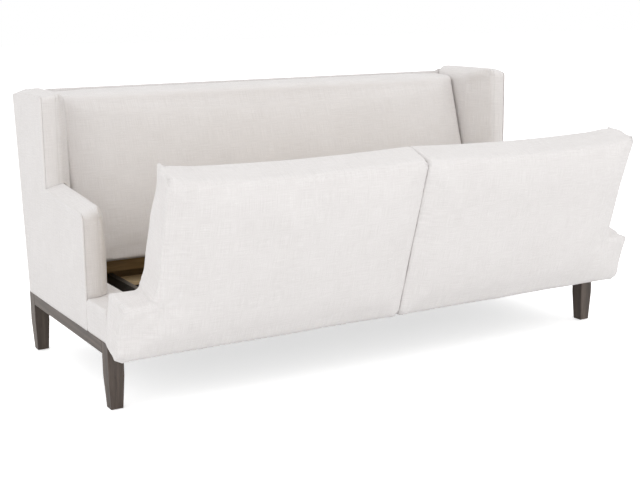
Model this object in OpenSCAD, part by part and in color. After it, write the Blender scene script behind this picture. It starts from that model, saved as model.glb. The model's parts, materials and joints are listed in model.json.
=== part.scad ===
// Wing-back loveseat on a dark wood base. Its two T-shaped seats tip forward
// on hinges behind the front edge, and are drawn tipped, as they rest on their stops.
// Millimetres. X runs to the right as seen from the front, Y to the back, Z up from the floor.

/* [Overall] */
// Width over the outside arm panels
width = 1980; // [1700:10:2200]
// Depth of the wood base, front to back
base_depth = 802; // [780:1:840]
// Height of the back and wings above the platform
back_rise = 615; // [560:1:680]
// Backward lean of the outside back
back_lean = 5.9; // [3:0.1:8]

/* [Wood base] */
// Height of the underside of the base rails
clearance_height = 175; // [130:1:220]
// Height of the base rails
base_rail_height = 40; // [30:1:60]
// Thickness of the base rails
base_rail_thickness = 25; // [18:1:35]
// Width of a leg where it meets the rails
leg_width = 52; // [44:1:64]
// Width of a leg at the foot
foot_width = 40; // [30:1:43]
// Height at which the taper of a leg begins
taper_height = 110; // [60:1:125]
// Rounding of the long edges of a leg
leg_edge = 2; // [1:0.5:5]
// Radius of the glide under each leg
glide_radius = 12; // [8:1:14]
// Thickness of the glide under each leg
glide_thickness = 3; // [2:0.5:6]

/* [Platform] */
// Height of the upholstered platform above the base rails
platform_height = 106; // [96:1:130]
// Rounding of the platform's front edge, which clears the swinging seat
platform_rounding = 22; // [20:1:28]
// Depth of the padding in front of the front seat rail
front_padding = 50; // [46:1:60]
// Thickness of the fabric-covered skin on the outside faces
skin = 6; // [4:1:10]
// Thickness of the padding over the front seat rail
top_padding = 22; // [15:1:28]
// Depth of the fold of padding behind the front seat rail
fold = 18; // [8:1:30]
// Distance that the platform ends reach further in than the arm pads
ear_lap = 18; // [0:1:24]
// Width of the ledge that carries the sides of the seats
ledge_width = 84; // [50:1:100]
// Thickness of the ledge that carries the sides of the seats
ledge_thickness = 52; // [30:1:55]

/* [Frame timber] */
// Thickness of the seat rails that run across
timber = 28; // [20:1:32]
// Width of the timbers inside the arms and wings
side_timber = 50; // [40:1:52]
// Height of the crosswise seat rail under the back
rear_rail_height = 58; // [50:1:65]
// Space between the seat rail under the back and the floor rail behind it
rear_rail_spacing = 40; // [30:1:50]
// Width of the dark bars that run front to back
cross_bar_width = 20; // [16:1:30]
// Height of the dark bars that run front to back
cross_bar_height = 35; // [25:1:45]
// Distance of the outer dark bars from the middle
cross_bar_offset = 695; // [600:1:730]
// Width of the pale deck slat, front to back
slat_width = 99; // [70:1:105]
// Thickness of the pale deck slat
slat_thickness = 12; // [9:1:18]
// Gap between the pale deck slat and the seat rail behind it
slat_gap = 10; // [4:1:30]
// Width of the bearer under the meeting edges of the seats
bearer_width = 60; // [40:1:80]
// Thickness of the sheet under the frame
dust_cover_thickness = 1; // [0.5:0.5:2]

/* [Arms and wings] */
// Setback of the arm fronts from the platform front
arm_setback = 182; // [170:1:200]
// Height of the arm at its front above the platform
arm_rise = 268; // [230:1:300]
// How much the arm climbs from its front to the wing
arm_climb = 34; // [10:1:60]
// How far the wing fronts stand in front of the lower edge of the tight back
wing_lead = 8; // [0:1:20]
// Thickness of the padded border along the arm and wing edges
border = 12; // [8:1:18]
// Width of an arm, from the outside panel to the inside pad
arm_width = 92; // [80:1:98]
// Width of a wing, from the outside panel to the inside pad
wing_width = 121; // [105:1:130]
// Rounding of the upper edges of the arm and wing pads
pad_rounding = 24; // [14:1:28]
// Depth over which an arm pad rounds off to its front
arm_nose = 46; // [30:1:60]
// Depth over which a wing pad rounds off to its front
wing_nose = 100; // [60:1:120]
// How far the top of an arm or wing pad dips at its front
nose_drop = 11; // [0:1:16]
// Rounding of the corners of the outside panel
panel_rounding = 14; // [6:1:24]

/* [Back] */
// Height of the lower edge of the tight back above the platform
back_lift = 9; // [7:1:14]
// Depth of the tight back at its top, from the line of its face to the outside back
back_top_depth = 134.7; // [128:0.1:150]
// Thickness of the back padding
back_padding = 60; // [45:1:66]
// Depth of the strip of padding over the top rail
back_cap = 31; // [24:1:40]
// Crown of the face of the tight back
back_crown = 10; // [0:1:16]
// Rounding of the upper front edge of the tight back
back_rounding = 34; // [20:1:40]
// How far the face of the tight back draws in at its ends
end_pull = 9; // [0:0.5:12]
// How far the top of the tight back dips at its ends
end_dip = 4; // [0:0.5:8]
// Thickness of the plywood ribs in the back
rib_thickness = 24; // [18:1:30]
// Height of the top rail of the back
top_rail_height = 40; // [30:1:60]
// Height of one strap of the back webbing
webbing_height = 60; // [40:1:70]
// Thickness of the back webbing
webbing_thickness = 2; // [1.5:0.5:3]

/* [Seats] */
// Depth of a seat, front to back
seat_depth = 568; // [540:1:570]
// Gap between the two seats
seat_gap = 2; // [2:0.5:8]
// Thickness of a seat, board included
seat_thickness = 125; // [105:1:145]
// Thickness of the plywood seat board
board_thickness = 15; // [12:1:20]
// Inset of the seat board from the edge of the cushion
board_inset = 4; // [2:1:10]
// Rounding of the upper edge of a cushion
cushion_rounding = 16; // [12:1:34]
// Crown of the face of a cushion
cushion_crown = 14; // [0:1:20]
// Distance from the edge over which the crown rises
crown_reach = 190; // [120:5:240]
// How far the sides of a cushion draw in between its corners
drawn_in = 4; // [0:0.5:10]
// How far the rear edge of a cushion draws in between its corners
rear_drawn_in = 10; // [0:0.5:14]
// How far the rear outer corner of a cushion stands out in a point
corner_point = 8; // [0:0.5:10]
// Distance from that corner over which the point rises
corner_reach = 110; // [40:5:160]
// Radius of the inner corner between the ear and the seat
ear_fillet = 46; // [10:1:60]
// How far a seat overhangs the platform front when it lies flat
overhang = 20; // [14:1:22]

/* [Tipping hinges] */
// Angle from lying flat to resting on the stop
tip_angle = 107.9; // [95:0.1:110]
// Distance from the platform front to the hinge pin
pin_setback = 20; // [19:0.5:22]
// Distance from the top of the platform down to the hinge pin
pin_drop = 39; // [38:0.5:42]
// Distance of a seat's inner hinge from the middle of the loveseat
hinge_inner = 200; // [120:10:300]
// Distance of a seat's outer hinge from the side of the seat
hinge_end = 117; // [80:1:300]
// Radius of the hinge pin
pin_radius = 5; // [3:0.5:6]
// Thickness of the arm of a hinge
arm_thickness = 8; // [5:0.5:10]
// Radius of the eye round a hinge pin
eye_radius = 11; // [9:0.5:12]
// Thickness of the cheeks and the base plate of a hinge bracket
plate_thickness = 5; // [3:0.5:6]
// Width of the base plate of a hinge bracket
plate_width = 44; // [38:1:60]
// Thickness of the foot plate under the seat board
foot_plate_thickness = 4; // [3:0.5:5]
// Width of the foot plate under the seat board
foot_plate_width = 36; // [32:1:44]
// Reach of the foot plate in front of the hinge pin
foot_plate_reach = 18; // [12:1:20]
// Radius of the shank of a hinge screw
screw_radius = 2.4; // [1.5:0.1:3]
// Length of a hinge screw under its head
screw_length = 17; // [12:1:18]
// Radius of the head of a hinge screw
screw_head_radius = 4; // [3:0.5:5]
// Thickness of the head of a hinge screw
screw_head_thickness = 2.5; // [1.5:0.5:3]

/* [Clearances] */
// Gap between soft faces that meet
soft_gap = 0.3; // [0.2:0.1:1]
// Gap between the side of a seat and the arm pad
seat_side_gap = 21; // [12:1:30]
// Gap between the rear edge of a seat lying flat and the tight back
seat_rear_gap = 12; // [10:1:30]
// Gap between an ear of a seat lying flat and the front of the arm
ear_gap = 37; // [20:1:50]
// Inset of an ear from the outside of the loveseat
ear_inset = 3; // [0:1:12]
// Gap between an end of the tight back and the wing pad
back_end_gap = 3; // [1:0.5:8]
// Radial clearance between a hinge pin and the eye of its arm
pin_clearance = 0.05; // [0.02:0.01:0.1]
// Gap between the heel of a hinge arm and its stop
stop_gap = 0.05; // [0.02:0.01:0.2]
// Radial clearance round a screw
screw_clearance = 0.1; // [0.05:0.05:0.3]
// Space between a hinge bracket and the sides of its pocket
pocket_clearance = 2; // [1:0.5:5]
// Space between the cheeks of a bracket and the arm between them
cheek_clearance = 0.5; // [0.3:0.1:1]

/* [Hidden] */
$fn = 48;

fabric = [0.90, 0.89, 0.87];
dark_wood = [0.24, 0.20, 0.17];
frame_wood = [0.45, 0.37, 0.22];
pale_wood = [0.80, 0.70, 0.54];
charcoal = [0.16, 0.15, 0.15];
steel = [0.62, 0.62, 0.63];
nylon = [0.12, 0.12, 0.12];

half = width / 2;
base_top = clearance_height + base_rail_height;
deck_z = base_top + platform_height;
back_height = deck_z + back_rise;
arm_height = deck_z + arm_rise;
arm_rear_height = arm_height + arm_climb;
arm_inner = half - arm_width;
wing_inner = half - wing_width;
seat_half = arm_inner - seat_side_gap;
ear_half = half - ear_inset;
hinge_offsets = [hinge_inner, seat_half - hinge_end];
ear_depth = arm_setback + overhang - ear_gap;
back_half = wing_inner - back_end_gap;
back_bottom = deck_z + back_lift;
back_setback = seat_depth - overhang + seat_rear_gap;
wing_setback = back_setback - wing_lead;
rear_rail_setback = base_depth - skin - 2 * timber - rear_rail_spacing;
slat_setback = rear_rail_setback - slat_gap - slat_width;
seat_z = deck_z + soft_gap;
pin_z = deck_z - pin_drop;

// The reach of the tipped seats and of the back, measured from the platform front,
// puts the origin under the middle of the whole.
tipped_reach = pin_setback
    + (seat_depth - overhang - pin_setback) * cos(tip_angle)
    - (pin_drop + soft_gap + seat_thickness) * sin(tip_angle);
back_reach = base_depth + (back_height - base_top) * tan(back_lean);
front_y = -(tipped_reach + back_reach) / 2;

arm_y = front_y + arm_setback;
wing_y = front_y + wing_setback;
pin_y = front_y + pin_setback;
rail_y = front_y + front_padding;
rear_rail_y = front_y + rear_rail_setback;

// Faces of the side timbers, the top of the side seat rails and of the timber under the border
timber_out = half - skin;
timber_in = timber_out - side_timber;
side_rail_top = deck_z - border / 2;
floor_rail_top = back_bottom - soft_gap;
rear_rail_bottom = floor_rail_top - rear_rail_height;
ear_in = arm_inner - ear_lap;
rib_bottom = floor_rail_top;
cap_bottom = back_height - back_cap;
rib_top = cap_bottom - top_rail_height;

// Lean of the face of the tight back, from its lower edge behind the seats to its top
face_lean = atan(
    (rear_y(back_height) - back_top_depth - front_y - back_setback) / (back_height - back_bottom)
);

// Y of the outside back, of the inside of its skin, and of the face of the tight back, at height z
function rear_y(z) = front_y + base_depth + (z - base_top) * tan(back_lean);
function inner_rear_y(z) = rear_y(z) - skin;
function face_y(z) = front_y + back_setback + (z - back_bottom) * tan(face_lean);
function slab_rear_y(z) = face_y(z) + back_padding;
function rib_front_y(z) = slab_rear_y(z) + soft_gap + webbing_thickness / cos(face_lean);

// Height of the arm at y, level behind the front of the wing
function arm_top(y) = arm_height
    + (arm_rear_height - arm_height) * min(1, (y - arm_y) / (wing_y - arm_y));

function smooth(t) = let (s = max(0, min(1, t))) s * s * (3 - 2 * s);

// Points of an arc round c, from angle a to angle b in n steps
function arc(c, r, a, b, n) = [
    for (i = [0:n]) let (t = a + (b - a) * i / n) c + r * [cos(t), sin(t)]
];

module left() {
    mirror([1, 0, 0]) children();
}

// A solid through rings of points, each ring anticlockwise as seen from the last one,
// with an end closed by a fan from the first and last of the centres
module loft(rings, centres) {
    n = len(rings[0]);
    last = len(rings) - 1;
    start = (last + 1) * n;
    points = concat([for (ring = rings) each ring], centres);
    sides = [
        for (i = [0:last - 1], j = [0:n - 1])
            let (k = (j + 1) % n, a = i * n, b = a + n)
                each [[a + j, b + j, b + k], [a + j, b + k, a + k]]
    ];
    ends = [
        for (j = [0:n - 1])
            let (k = (j + 1) % n)
                each [[start, j, k], [start + 1, last * n + k, last * n + j]]
    ];
    polyhedron(points = points, faces = concat(sides, ends));
}

// An outline in Y and Z, carried along X from x0 to x1
module along_x(x0, x1, outline) {
    translate([x0, 0, 0])
        rotate([90, 0, 90])
            linear_extrude(x1 - x0)
                polygon(outline);
}

module box(x0, x1, y0, y1, z0, z1) {
    translate([x0, y0, z0]) cube([x1 - x0, y1 - y0, z1 - z0]);
}

// Carries what is drawn as the seat lies flat to where it rests, tipped on its stop
module tipped() {
    translate([0, pin_y, pin_z])
        rotate([tip_angle, 0, 0])
            translate([0, -pin_y, -pin_z])
                children();
}

// Wood base

module rounded_square(w) {
    c = w / 2 - leg_edge;
    polygon([
        for (a = [0:90:270])
            each arc(c * [cos(a) - sin(a), sin(a) + cos(a)], leg_edge, a, a + 90, 2)
    ]);
}

module leg(side, y) {
    x = side * (half - leg_width / 2);
    straight = base_top - taper_height;
    color(dark_wood) translate([x, y, 0]) {
        translate([0, 0, taper_height])
            linear_extrude(straight) rounded_square(leg_width);
        translate([0, 0, taper_height])
            mirror([0, 0, 1])
                linear_extrude(taper_height - glide_thickness, scale = foot_width / leg_width)
                    rounded_square(leg_width);
    }
}

leg_front_y = front_y + leg_width / 2;
leg_rear_y = front_y + base_depth - leg_width / 2;

module leg_front_left() leg(-1, leg_front_y);
module leg_front_right() leg(1, leg_front_y);
module leg_rear_left() leg(-1, leg_rear_y);
module leg_rear_right() leg(1, leg_rear_y);

module foot_glides() {
    color(nylon)
        for (side = [-1, 1], y = [leg_front_y, leg_rear_y])
            translate([side * (half - leg_width / 2), y, 0])
                cylinder(h = glide_thickness, r = glide_radius);
}

module base_rail_across(y) {
    span = half - leg_width;
    color(dark_wood)
        box(-span, span, y, y + base_rail_thickness, clearance_height, base_top);
}

module base_rail_along() {
    color(dark_wood)
        box(
            half - base_rail_thickness, half,
            front_y + leg_width, front_y + base_depth - leg_width,
            clearance_height, base_top
        );
}

module base_rail_front() base_rail_across(front_y);
module base_rail_rear() base_rail_across(front_y + base_depth - base_rail_thickness);
module base_rail_right() base_rail_along();
module base_rail_left() left() base_rail_along();

// Lies under the seat frame, between the base rails and clear of the legs
module dust_cover() {
    edge = base_rail_thickness + soft_gap;
    corner = leg_width + soft_gap;
    z = base_top - dust_cover_thickness;
    color(nylon)
        difference() {
            box(-half + edge, half - edge, front_y + edge, front_y + base_depth - edge, z, base_top);
            for (side = [-1, 1], y = [leg_front_y, leg_rear_y])
                translate([side * (half - leg_width / 2), y, base_top])
                    cube(leg_width + 2 * soft_gap, center = true);
        }
}

// Seat frame

bracket_screw_rise = 8;

module bracket_screw_places() {
    for (side = [-1, 1], x = hinge_offsets, s = [-1, 1])
        translate([
            side * x + s * bracket_screw_offset, rail_y - plate_thickness,
            pin_z + bracket_screw_rise
        ])
            rotate([-90, 0, 0])
                children();
}

module front_seat_rail() {
    color(frame_wood)
        difference() {
            box(
                -timber_out, timber_out, rail_y, rail_y + timber,
                base_top, deck_z - top_padding
            );
            bracket_screw_places()
                cylinder(h = screw_length + 1, r = screw_radius + screw_clearance);
        }
}

module rear_seat_rail() {
    color(frame_wood)
        box(
            -timber_in, timber_in, rear_rail_y, rear_rail_y + timber,
            rear_rail_bottom, floor_rail_top
        );
}

floor_rail_y = inner_rear_y(base_top) - timber;

module rear_floor_rail() {
    color(frame_wood)
        box(
            -timber_in, timber_in, floor_rail_y, floor_rail_y + timber,
            base_top, floor_rail_top
        );
}

module side_seat_rail() {
    color(frame_wood)
        box(
            timber_in, timber_out, rail_y + timber, inner_rear_y(base_top),
            base_top, side_rail_top
        );
}

module side_seat_rail_right() side_seat_rail();
module side_seat_rail_left() left() side_seat_rail();

cross_bar_top = base_top + cross_bar_height;

module cross_bars() {
    color(charcoal)
        for (x = [-cross_bar_offset, 0, cross_bar_offset])
            box(
                x - cross_bar_width / 2, x + cross_bar_width / 2,
                rail_y + timber, floor_rail_y, base_top, cross_bar_top
            );
}

module deck_slats() {
    near = cross_bar_width / 2;
    far = cross_bar_offset - near;
    y = front_y + slat_setback;
    z = cross_bar_top - slat_thickness;
    color(pale_wood) {
        box(near, far, y, y + slat_width, z, cross_bar_top);
        box(-far, -near, y, y + slat_width, z, cross_bar_top);
    }
}

module centre_bearer() {
    color(pale_wood)
        box(
            -bearer_width / 2, bearer_width / 2,
            rail_y + timber + fold, front_y + slat_setback, cross_bar_top, deck_z
        );
}

// Timbers inside an arm and a wing, on the right-hand side

module arm_frame() {
    post_back = arm_y + border + side_timber;
    wing_post = wing_y + border;
    color(frame_wood) {
        along_x(timber_in, timber_out, [
            [arm_y + border, side_rail_top],
            [post_back, side_rail_top],
            [post_back, arm_top(post_back) - border],
            [arm_y + border, arm_top(arm_y + border) - border]
        ]);
        along_x(timber_in, timber_out, [
            [post_back, arm_top(post_back) - border - side_timber],
            [wing_post, arm_rear_height - border - side_timber],
            [wing_post, arm_rear_height - border],
            [wing_y, arm_rear_height - border],
            [post_back, arm_top(post_back) - border]
        ]);
    }
}

module arm_frame_right() arm_frame();
module arm_frame_left() left() arm_frame();

module wing_frame() {
    top = back_height - border;
    low = top - side_timber;
    post = wing_y + border;
    color(frame_wood) {
        box(timber_in, timber_out, post, post + side_timber, side_rail_top, top);
        along_x(timber_in, timber_out, [
            [post + side_timber, low],
            [inner_rear_y(low) - side_timber, low],
            [inner_rear_y(top) - side_timber, top],
            [post + side_timber, top]
        ]);
        along_x(timber_in, timber_out, [
            [inner_rear_y(side_rail_top) - side_timber, side_rail_top],
            [inner_rear_y(side_rail_top), side_rail_top],
            [inner_rear_y(top), top],
            [inner_rear_y(top) - side_timber, top]
        ]);
    }
}

module wing_frame_right() wing_frame();
module wing_frame_left() left() wing_frame();

// Outside panel: arm and wing in one outline, with rounded upper corners

module outside_panel() {
    r = panel_rounding;
    slope = atan((arm_rear_height - arm_height) / (wing_y - arm_y));
    arm_corner = [arm_y + r, arm_height - r + r * tan(slope)];
    wing_corner = [wing_y + r, back_height - r];
    rear_corner = [rear_y(back_height) - r, back_height - r];
    color(fabric)
        along_x(timber_out, half, concat(
            [[rear_y(base_top), base_top]],
            arc(rear_corner, r, 0, 90, 6),
            arc(wing_corner, r, 90, 180, 6),
            [[wing_y, arm_rear_height]],
            arc(arm_corner, r, 90 + slope, 180, 6),
            [[arm_y, base_top]]
        ));
}

module outside_panel_right() outside_panel();
module outside_panel_left() left() outside_panel();

// Padded borders along the front and top edges, between the outside panel and the inside pad

module arm_border() {
    r = panel_rounding;
    slope = atan((arm_rear_height - arm_height) / (wing_y - arm_y));
    corner = [arm_y + r, arm_height - r + r * tan(slope)];
    post = arm_y + border;
    color(fabric)
        along_x(timber_in, timber_out, concat(
            [[post, side_rail_top], [post, arm_top(post) - border]],
            [[wing_y, arm_rear_height - border], [wing_y, arm_rear_height]],
            arc(corner, r, 90 + slope, 180, 6),
            [[arm_y, side_rail_top]]
        ));
}

module arm_border_right() arm_border();
module arm_border_left() left() arm_border();

module wing_border() {
    r = panel_rounding;
    top = back_height;
    low = arm_rear_height - border;
    color(fabric)
        along_x(timber_in, timber_out, concat(
            [[wing_y + border, arm_rear_height - border], [wing_y + border, top - border]],
            [[inner_rear_y(top - border), top - border], [inner_rear_y(top), top]],
            arc([wing_y + r, top - r], r, 90, 180, 6),
            [[wing_y, arm_rear_height]],
            [[wing_y + soft_gap, low]]
        ));
}

module wing_border_right() wing_border();
module wing_border_left() left() wing_border();

// Inside pads: upright sections in X and Z, carried from the front to the back.
// x_in is the inner face, which bulges by bulge halfway up its height.
function pad_section(y_at, x_in, x_out, z0, z1, r, bulge) = let (
    n = 8,
    top = [x_in + r, z1 - r],
    face = [
        for (i = [0:n])
            let (t = i / n) [x_in - bulge * sin(180 * t), z0 + (z1 - r - z0) * t]
    ],
    edge = [for (i = [1:5]) let (a = 180 - 18 * i) top + r * [cos(a), sin(a)]],
    outline = concat(face, edge, [[x_out, z1], [x_out, z0]])
) [for (p = outline) [p[0], y_at(p[1]), p[1]]];

pad_out = timber_in - soft_gap;
nose_width = 5;
arm_bulge = 4;

module arm_pad() {
    z0 = deck_z + soft_gap;
    back = rear_rail_y - slat_gap;
    steps = concat(
        [for (t = [0, 0.09, 0.26, 0.52, 1]) t * arm_nose],
        [for (t = [0.33, 0.65, 1]) t * (wing_y - arm_y)],
        [back - arm_y]
    );
    rings = [
        for (s = steps)
            let (
                t = min(1, s / arm_nose),
                in = arm_inner + (pad_out - arm_inner - nose_width) * pow(1 - t, 2),
                drop = nose_drop * pow(1 - min(1, 2 * t), 2),
                r = min(pad_rounding, pad_out - in - 1)
            )
                pad_section(
                    function (z) arm_y + s, in, pad_out, z0, arm_top(arm_y + s) - drop,
                    r, arm_bulge * smooth(t)
                )
    ];
    middle = (z0 + arm_height) / 2;
    color(fabric)
        loft(rings, [
            [pad_out - nose_width / 2, arm_y, middle],
            [(arm_inner + pad_out) / 2, back, middle]
        ]);
}

module arm_pad_right() arm_pad();
module arm_pad_left() left() arm_pad();

module wing_pad() {
    z0 = arm_rear_height + soft_gap;
    depth = inner_rear_y(z0) - wing_y;
    steps = concat(
        [for (t = [0, 0.05, 0.14, 0.28, 0.5, 0.75, 1]) t * wing_nose],
        [for (t = [0.56, 0.77]) t * depth]
    );
    rings = concat(
        [
            for (s = steps)
                let (
                    t = min(1, s / wing_nose),
                    in = wing_inner + (pad_out - wing_inner - nose_width) * pow(1 - t, 2.2),
                    drop = nose_drop * pow(1 - min(1, 3.6 * t), 2),
                    r = min(pad_rounding, pad_out - in - 1)
                )
                    pad_section(
                        function (z) wing_y + s, in, pad_out, z0, back_height - drop, r, 0
                    )
        ],
        [
            pad_section(
                function (z) inner_rear_y(z) - soft_gap, wing_inner, pad_out, z0, back_height,
                pad_rounding, 0
            )
        ]
    );
    middle = (z0 + back_height) / 2;
    color(fabric)
        loft(rings, [
            [pad_out - nose_width / 2, wing_y, middle],
            [(wing_inner + pad_out) / 2, inner_rear_y(middle) - soft_gap, middle]
        ]);
}

module wing_pad_right() wing_pad();
module wing_pad_left() left() wing_pad();

// Platform

pocket_width = plate_width + 2 * pocket_clearance;
pocket_bottom = pin_z - heel_reach() - pocket_clearance;

function heel_reach() = norm([front_padding - plate_thickness - pin_setback, eye_radius]);

module platform_front() {
    r = platform_rounding;
    back = rail_y + timber;
    low = deck_z - top_padding;
    color(fabric)
        difference() {
            union() {
                along_x(-half, half, concat(
                    [[front_y, base_top], [rail_y, base_top], [rail_y, low]],
                    [[back, low], [back, deck_z]],
                    arc([front_y + r, deck_z - r], r, 90, 180, 12)
                ));
                box(-ear_in, ear_in, back, back + fold, low, deck_z);
                box(timber_out, half, rail_y, back, base_top, low);
                box(-half, -timber_out, rail_y, back, base_top, low);
            }
            for (side = [-1, 1], x = hinge_offsets)
                translate([side * x - pocket_width / 2, front_y - 1, pocket_bottom])
                    cube([pocket_width, front_padding + 1, platform_height]);
        }
}

module platform_ear() {
    r = panel_rounding;
    color(fabric)
        translate([0, arm_y - soft_gap, 0])
            rotate([90, 0, 0])
                linear_extrude(arm_y - soft_gap - rail_y - timber)
                    difference() {
                        polygon(concat(
                            [[ear_in, base_top], [half, base_top]],
                            arc([half - r, deck_z - r], r, 0, 90, 6),
                            [[ear_in, deck_z]]
                        ));
                        translate([timber_in, base_top - 1])
                            square([side_timber, side_rail_top - base_top + 1]);
                    }
}

module platform_ear_right() platform_ear();
module platform_ear_left() left() platform_ear();

module seat_ledge() {
    color(fabric)
        box(
            timber_in - ledge_width, timber_in, arm_y, front_y + slat_setback,
            deck_z - ledge_thickness, deck_z
        );
}

module seat_ledge_right() seat_ledge();
module seat_ledge_left() left() seat_ledge();

// Back

module back_ribs() {
    outer = back_half - rib_thickness;
    color(pale_wood)
        for (x = [-outer - rib_thickness, -outer / 3, outer / 3 - rib_thickness, outer])
            along_x(x, x + rib_thickness, [
                [rib_front_y(rib_bottom), rib_bottom],
                [inner_rear_y(rib_bottom), rib_bottom],
                [inner_rear_y(rib_top), rib_top],
                [rib_front_y(rib_top), rib_top]
            ]);
}

module back_top_rail() {
    color(frame_wood)
        along_x(-back_half, back_half, [
            [inner_rear_y(rib_top) - side_timber, rib_top],
            [inner_rear_y(rib_top), rib_top],
            [inner_rear_y(cap_bottom), cap_bottom],
            [inner_rear_y(cap_bottom) - side_timber, cap_bottom]
        ]);
}

// Straps stretched across the front edges of the ribs
module back_webbing() {
    straps = 5;
    low = rib_bottom + webbing_height / 3;
    pitch = (rib_top - low) / straps;
    color(charcoal)
        for (i = [0:straps - 1])
            translate([-back_half, slab_rear_y(low + i * pitch) + soft_gap, low + i * pitch])
                rotate([-face_lean, 0, 0])
                    cube([2 * back_half, webbing_thickness, webbing_height]);
}

// One section of the back pad at x, in Y and Z: a leaning slab with a cap over the top rail.
// The face swells by the crown, which dies away towards the ends and the edges.
function back_section(x) = let (
    t = abs(x) / back_half,
    swell = back_crown * (1 - pow(t, 4)),
    pull = end_pull * pow(t, 14),
    r = back_rounding,
    n = 12,
    z1 = back_height - end_dip * pow(t, 8),
    top = [face_y(z1 - r) + r + pull, z1 - r],
    edge = [for (i = [0:6]) let (a = 90 + 15 * i) top + r * [cos(a), sin(a)]],
    face = [
        for (i = [1:n])
            let (
                s = 1 - i / n,
                z = back_bottom + (z1 - r - back_bottom) * s
            )
                [face_y(z) + pull - swell * pow(sin(180 * s), 0.7), z]
    ],
    rear = inner_rear_y(cap_bottom) - soft_gap
) [
    for (p = concat(
        face,
        [[slab_rear_y(back_bottom), back_bottom]],
        [[slab_rear_y(cap_bottom), cap_bottom]],
        [[rear, cap_bottom], [inner_rear_y(z1) - soft_gap, z1]],
        edge
    ))
        [x, p[0], p[1]]
];

module back_pad() {
    shares = [0, 0.012, 0.03, 0.06, 0.1, 0.17, 0.26, 0.38, 0.5];
    xs = concat(
        [for (s = shares) -back_half + s * 2 * back_half],
        [for (i = [len(shares) - 2:-1:0]) back_half - shares[i] * 2 * back_half]
    );
    z = cap_bottom + (back_height - cap_bottom) / 3;
    middle = slab_rear_y(z);
    color(fabric)
        loft([for (x = xs) back_section(x)], [[-back_half, middle, z], [back_half, middle, z]]);
}

module outside_back() {
    color(fabric)
        along_x(-timber_out, timber_out, [
            [inner_rear_y(base_top), base_top],
            [rear_y(base_top), base_top],
            [rear_y(back_height), back_height],
            [inner_rear_y(back_height), back_height]
        ]);
}

// Seats, drawn lying flat on the right-hand side: x from the middle, y from the front edge

seat_in = seat_gap / 2;
seat_y = front_y - overhang;

// Rows of a grid that crowd together at both ends of a span, where the edge rolls over
function edge_rows(a, b, n) = let (r = cushion_rounding) concat(
    [a, a + 0.12 * r, a + 0.45 * r, a + r],
    [for (i = [1:n - 1]) a + r + (b - a - 2 * r) * i / n],
    [b - r, b - 0.45 * r, b - 0.12 * r, b]
);

// Distance from a point of the T-shaped half to its edge
function edge_distance(x, y) = min(
    x - seat_in, ear_half - x, y, seat_depth - y,
    norm([max(seat_half - x, 0), max(ear_depth - y, 0)])
);

// Height of the cushion's upper face: a quarter-round edge, and a crown that rises from it
function cushion_top(d) = let (
    r = cushion_rounding,
    e = 1 - min(1, d / r),
    c = 1 - min(1, d / crown_reach)
) seat_thickness - r * (1 - sqrt(1 - e * e)) + cushion_crown * (1 - c * c);

// Plan shift: the sides and the rear edge draw in between the corners, the rear outer
// corner stands out in a point, and the ear's inner corner fills out
function drawn(x, y) = let (
    mid = (seat_in + seat_half) / 2,
    pull_x = drawn_in * sin(180 * y / seat_depth) * (mid - x) / (seat_half - mid),
    pull_y = rear_drawn_in * sin(180 * min(1, (x - seat_in) / (seat_half - seat_in)))
        * max(0, 2 * y / seat_depth - 1),
    point = corner_point * max(0, 1 - norm([x - seat_half, y - seat_depth]) / corner_reach),
    near = norm([x - seat_half, y - ear_depth]),
    fill = (1 - cos(45)) * ear_fillet * pow(1 - min(1, near / ear_fillet), 1.3)
) [x + pull_x + fill, y - pull_y + point + fill];

module seat_cushion() {
    xs = concat(edge_rows(seat_in, seat_half, 10), [
        for (s = [0.25, 0.5, 0.76, 0.89, 0.97, 1]) seat_half + s * (ear_half - seat_half)
    ]);
    ys = concat(
        [for (s = [0, 0.12, 0.45, 1]) s * cushion_rounding],
        [for (s = [0.3, 0.6, 0.84, 0.93, 1]) cushion_rounding + s * (ear_depth - cushion_rounding)],
        [for (i = [1:5]) ear_depth + (seat_depth - cushion_rounding - ear_depth) * i / 5],
        [for (s = [0.55, 0.88, 1]) seat_depth - cushion_rounding * (1 - s)]
    );
    nx = len(xs);
    ny = len(ys);
    ix = search(seat_half, xs)[0];
    iy = search(ear_depth, ys)[0];
    inside = function (i, j)
        i >= 0 && j >= 0 && i < nx - 1 && j < ny - 1 && !(i >= ix && j >= iy);
    upper = [
        for (x = xs, y = ys)
            let (p = drawn(x, y)) [p[0], p[1], cushion_top(max(0, edge_distance(x, y)))]
    ];
    lower = [for (x = xs, y = ys) let (p = drawn(x, y)) [p[0], p[1], board_thickness]];
    low = nx * ny;
    at = function (i, j) i * ny + j;
    cells = [for (i = [0:nx - 2], j = [0:ny - 2]) if (inside(i, j)) [i, j]];
    faces = [
        for (c = cells)
            let (
                a = at(c[0], c[1]), b = at(c[0] + 1, c[1]),
                d = at(c[0], c[1] + 1), e = at(c[0] + 1, c[1] + 1)
            )
                each [[a, d, e], [a, e, b], [low + a, low + e, low + d], [low + a, low + b, low + e]]
    ];
    rims = [
        for (c = cells)
            let (
                a = at(c[0], c[1]), b = at(c[0] + 1, c[1]),
                d = at(c[0], c[1] + 1), e = at(c[0] + 1, c[1] + 1)
            )
                each concat(
                    inside(c[0], c[1] - 1) ? [] : [[a, b]],
                    inside(c[0] + 1, c[1]) ? [] : [[b, e]],
                    inside(c[0], c[1] + 1) ? [] : [[e, d]],
                    inside(c[0] - 1, c[1]) ? [] : [[d, a]]
                )
    ];
    walls = [
        for (s = rims)
            each [[low + s[0], s[0], s[1]], [low + s[0], s[1], low + s[1]]]
    ];
    color(fabric)
        tipped()
            translate([0, seat_y, seat_z])
                polyhedron(points = concat(upper, lower), faces = concat(faces, walls));
}

module seat_cushion_right() seat_cushion();
module seat_cushion_left() left() seat_cushion();

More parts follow.
